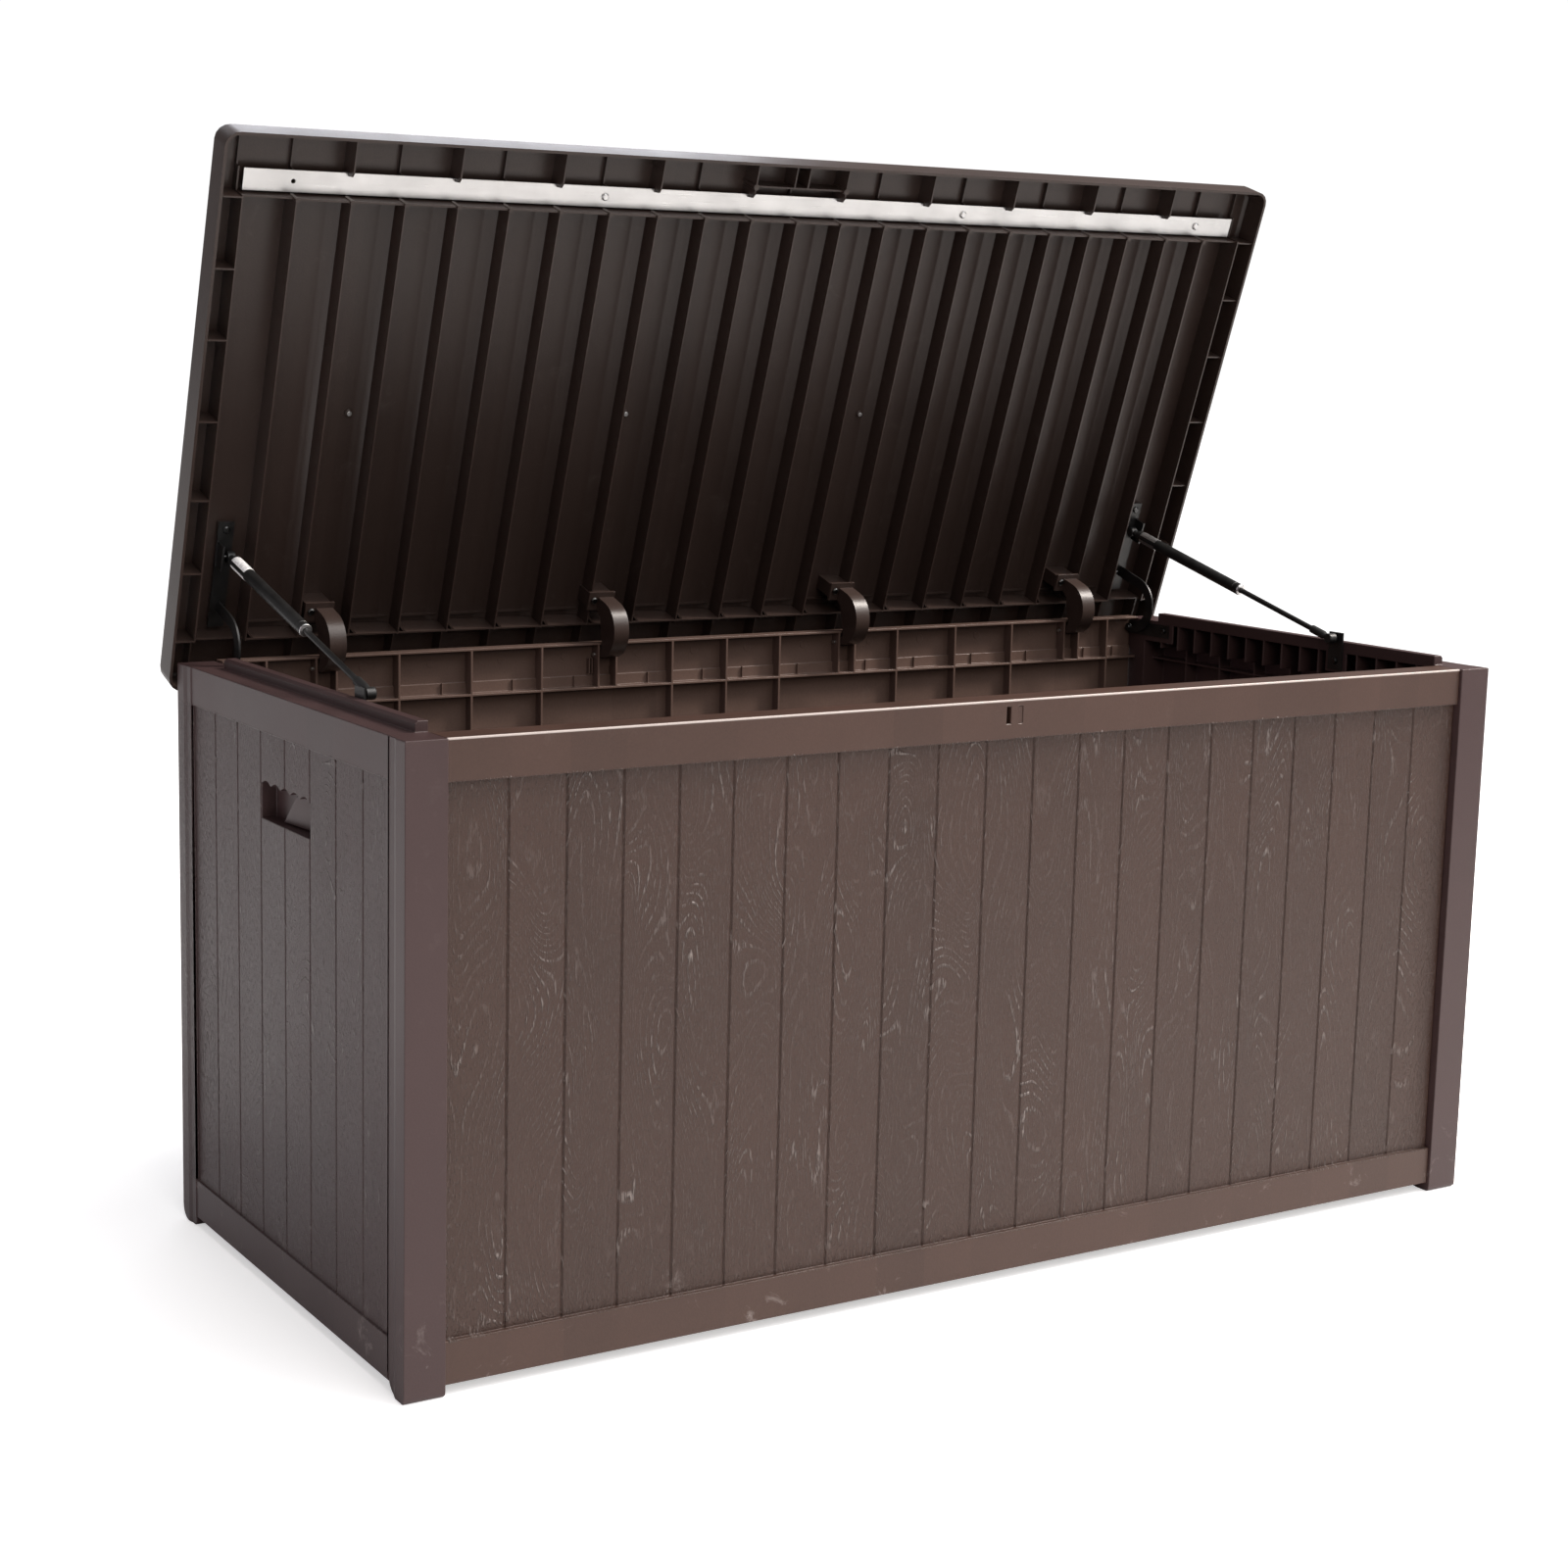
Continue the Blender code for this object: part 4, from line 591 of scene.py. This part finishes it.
for side, word, low, high, finish in ((-1, "left", 0.024, 0.066, label_paper),
                                      (1, "right", 0.026, 0.060, zinc)):
    ball = lid_frame @ Vector((side * STRUT_PLANE, -STUD_FORWARD, STUD_RISE))
    mesh = bmesh.new()
    outside = TUBE_SURFACE + 0.0004
    lathe(mesh, [(TUBE_SURFACE, low), (outside, low), (outside, high), (TUBE_SURFACE, high)],
          ball, strut_axis, start=-150, stop=170)
    make_piece("strut_sleeve_" + word, mesh, finish, word + "_strut_tube")
    mesh = bmesh.new()
    lathe(mesh, [(0.0042, TUBE_END), (0.0076, TUBE_END), (0.0079, TUBE_END + 0.0006),
                 (0.0074, TUBE_END + 0.0016), (0.0042, TUBE_END + 0.0020)], ball, strut_axis)
    make_piece("strut_cap_" + word, mesh, zinc, word + "_strut_tube")

# ------------------------------------------------------------------ floor, light and camera
# A seamless pale floor under a broad ceiling panel, with a key softbox high on the right and
# weaker ones left, in front and behind.
bpy.ops.mesh.primitive_plane_add(size=60.0, location=(0, 0, 0))
floor = bpy.context.object
floor.name = "studio_floor"
floor_paint, tree, shader = new_material("matt white floor", Roughness=0.9)
shader.inputs["Base Color"].default_value = (0.86, 0.86, 0.86, 1.0)
glow = add(tree, "ShaderNodeEmission", Color=(1.0, 1.0, 1.0, 1.0), Strength=0.50)
seen = add(tree, "ShaderNodeLightPath").outputs["Is Camera Ray"]
lit = add(tree, "ShaderNodeMixShader", i0=seen, i2=glow.outputs[0]).outputs[0]
both = add(tree, "ShaderNodeAddShader", i0=shader.outputs[0], i1=lit).outputs[0]
tree.links.new(both, tree.nodes["Material Output"].inputs["Surface"])
floor.data.materials.append(floor_paint)

world = bpy.data.worlds.new("studio")
world.use_nodes = True
tree = world.node_tree
room = tree.nodes["Background"]
room.inputs["Color"].default_value = (1.0, 0.96, 0.97, 1.0)
room.inputs["Strength"].default_value = 0.20
paper = add(tree, "ShaderNodeBackground", Color=(1.0, 1.0, 1.0, 1.0), Strength=1.05)
seen = add(tree, "ShaderNodeLightPath").outputs["Is Camera Ray"]
tree.links.new(add(tree, "ShaderNodeMixShader", i0=seen, i1=room.outputs[0],
                   i2=paper.outputs[0]).outputs[0],
               tree.nodes["World Output"].inputs["Surface"])
bpy.context.scene.world = world

ceiling = bpy.data.lights.new("ceiling_panel", "SUN")
ceiling.energy = 2.3
ceiling.angle = math.radians(60)
panel = bpy.data.objects.new("ceiling_panel", ceiling)
bpy.context.scene.collection.objects.link(panel)
panel.rotation_euler = Vector((-0.35, 0.60, -1.0)).to_track_quat("-Z", "Y").to_euler()


def softbox(name, position, target, width, height, power, colour):
    """A rectangular light at a position, aimed at a target."""
    light = bpy.data.lights.new(name, "AREA")
    light.shape = "RECTANGLE"
    light.size = width
    light.size_y = height
    light.energy = power
    light.color = srgb(colour)[:3]
    made = bpy.data.objects.new(name, light)
    bpy.context.scene.collection.objects.link(made)
    made.location = position
    aim = Vector(target) - Vector(position)
    made.rotation_euler = aim.to_track_quat("-Z", "Y").to_euler()


softbox("left_softbox", (-4.2, -0.6, 1.9), (0, 0, 0.4), 2.4, 2.4, 16, "#F6E2F0")
softbox("front_softbox", (-1.1, -4.4, 2.1), (-0.2, 0, 0.5), 2.2, 1.6, 38, "#FFF1E6")
softbox("key_softbox", (2.4, -0.95, 3.5), (0.1, -0.2, 0.6), 0.6, 1.5, 210, "#FFF6EE")
softbox("back_softbox", (0.6, 3.6, 3.0), (0, 0, 0.9), 3.2, 1.2, 50, "#F4F7FF")

camera = bpy.data.objects.new("camera", bpy.data.cameras.new("camera"))
bpy.context.scene.collection.objects.link(camera)
YAW, PITCH, ROLL = 0.54310, 0.15644, 0.02070
forward = Vector((math.sin(YAW) * math.cos(PITCH), math.cos(YAW) * math.cos(PITCH),
                  -math.sin(PITCH)))
right = Vector((math.cos(YAW), -math.sin(YAW), 0.0))
up = right.cross(forward)
level_right = right * math.cos(ROLL) + up * math.sin(ROLL)
level_up = up * math.cos(ROLL) - right * math.sin(ROLL)
turn = Matrix((level_right, level_up, -forward)).transposed().to_4x4()
camera.matrix_world = Matrix.Translation((-1.8293, -2.7144, 1.1084)) @ turn
camera.data.sensor_width = 36.0
camera.data.lens = 59.9
camera.data.shift_x = 0.0458
camera.data.shift_y = -0.0259
camera.data.clip_end = 200.0
bpy.context.scene.camera = camera
bpy.context.scene.view_settings.view_transform = "Standard"
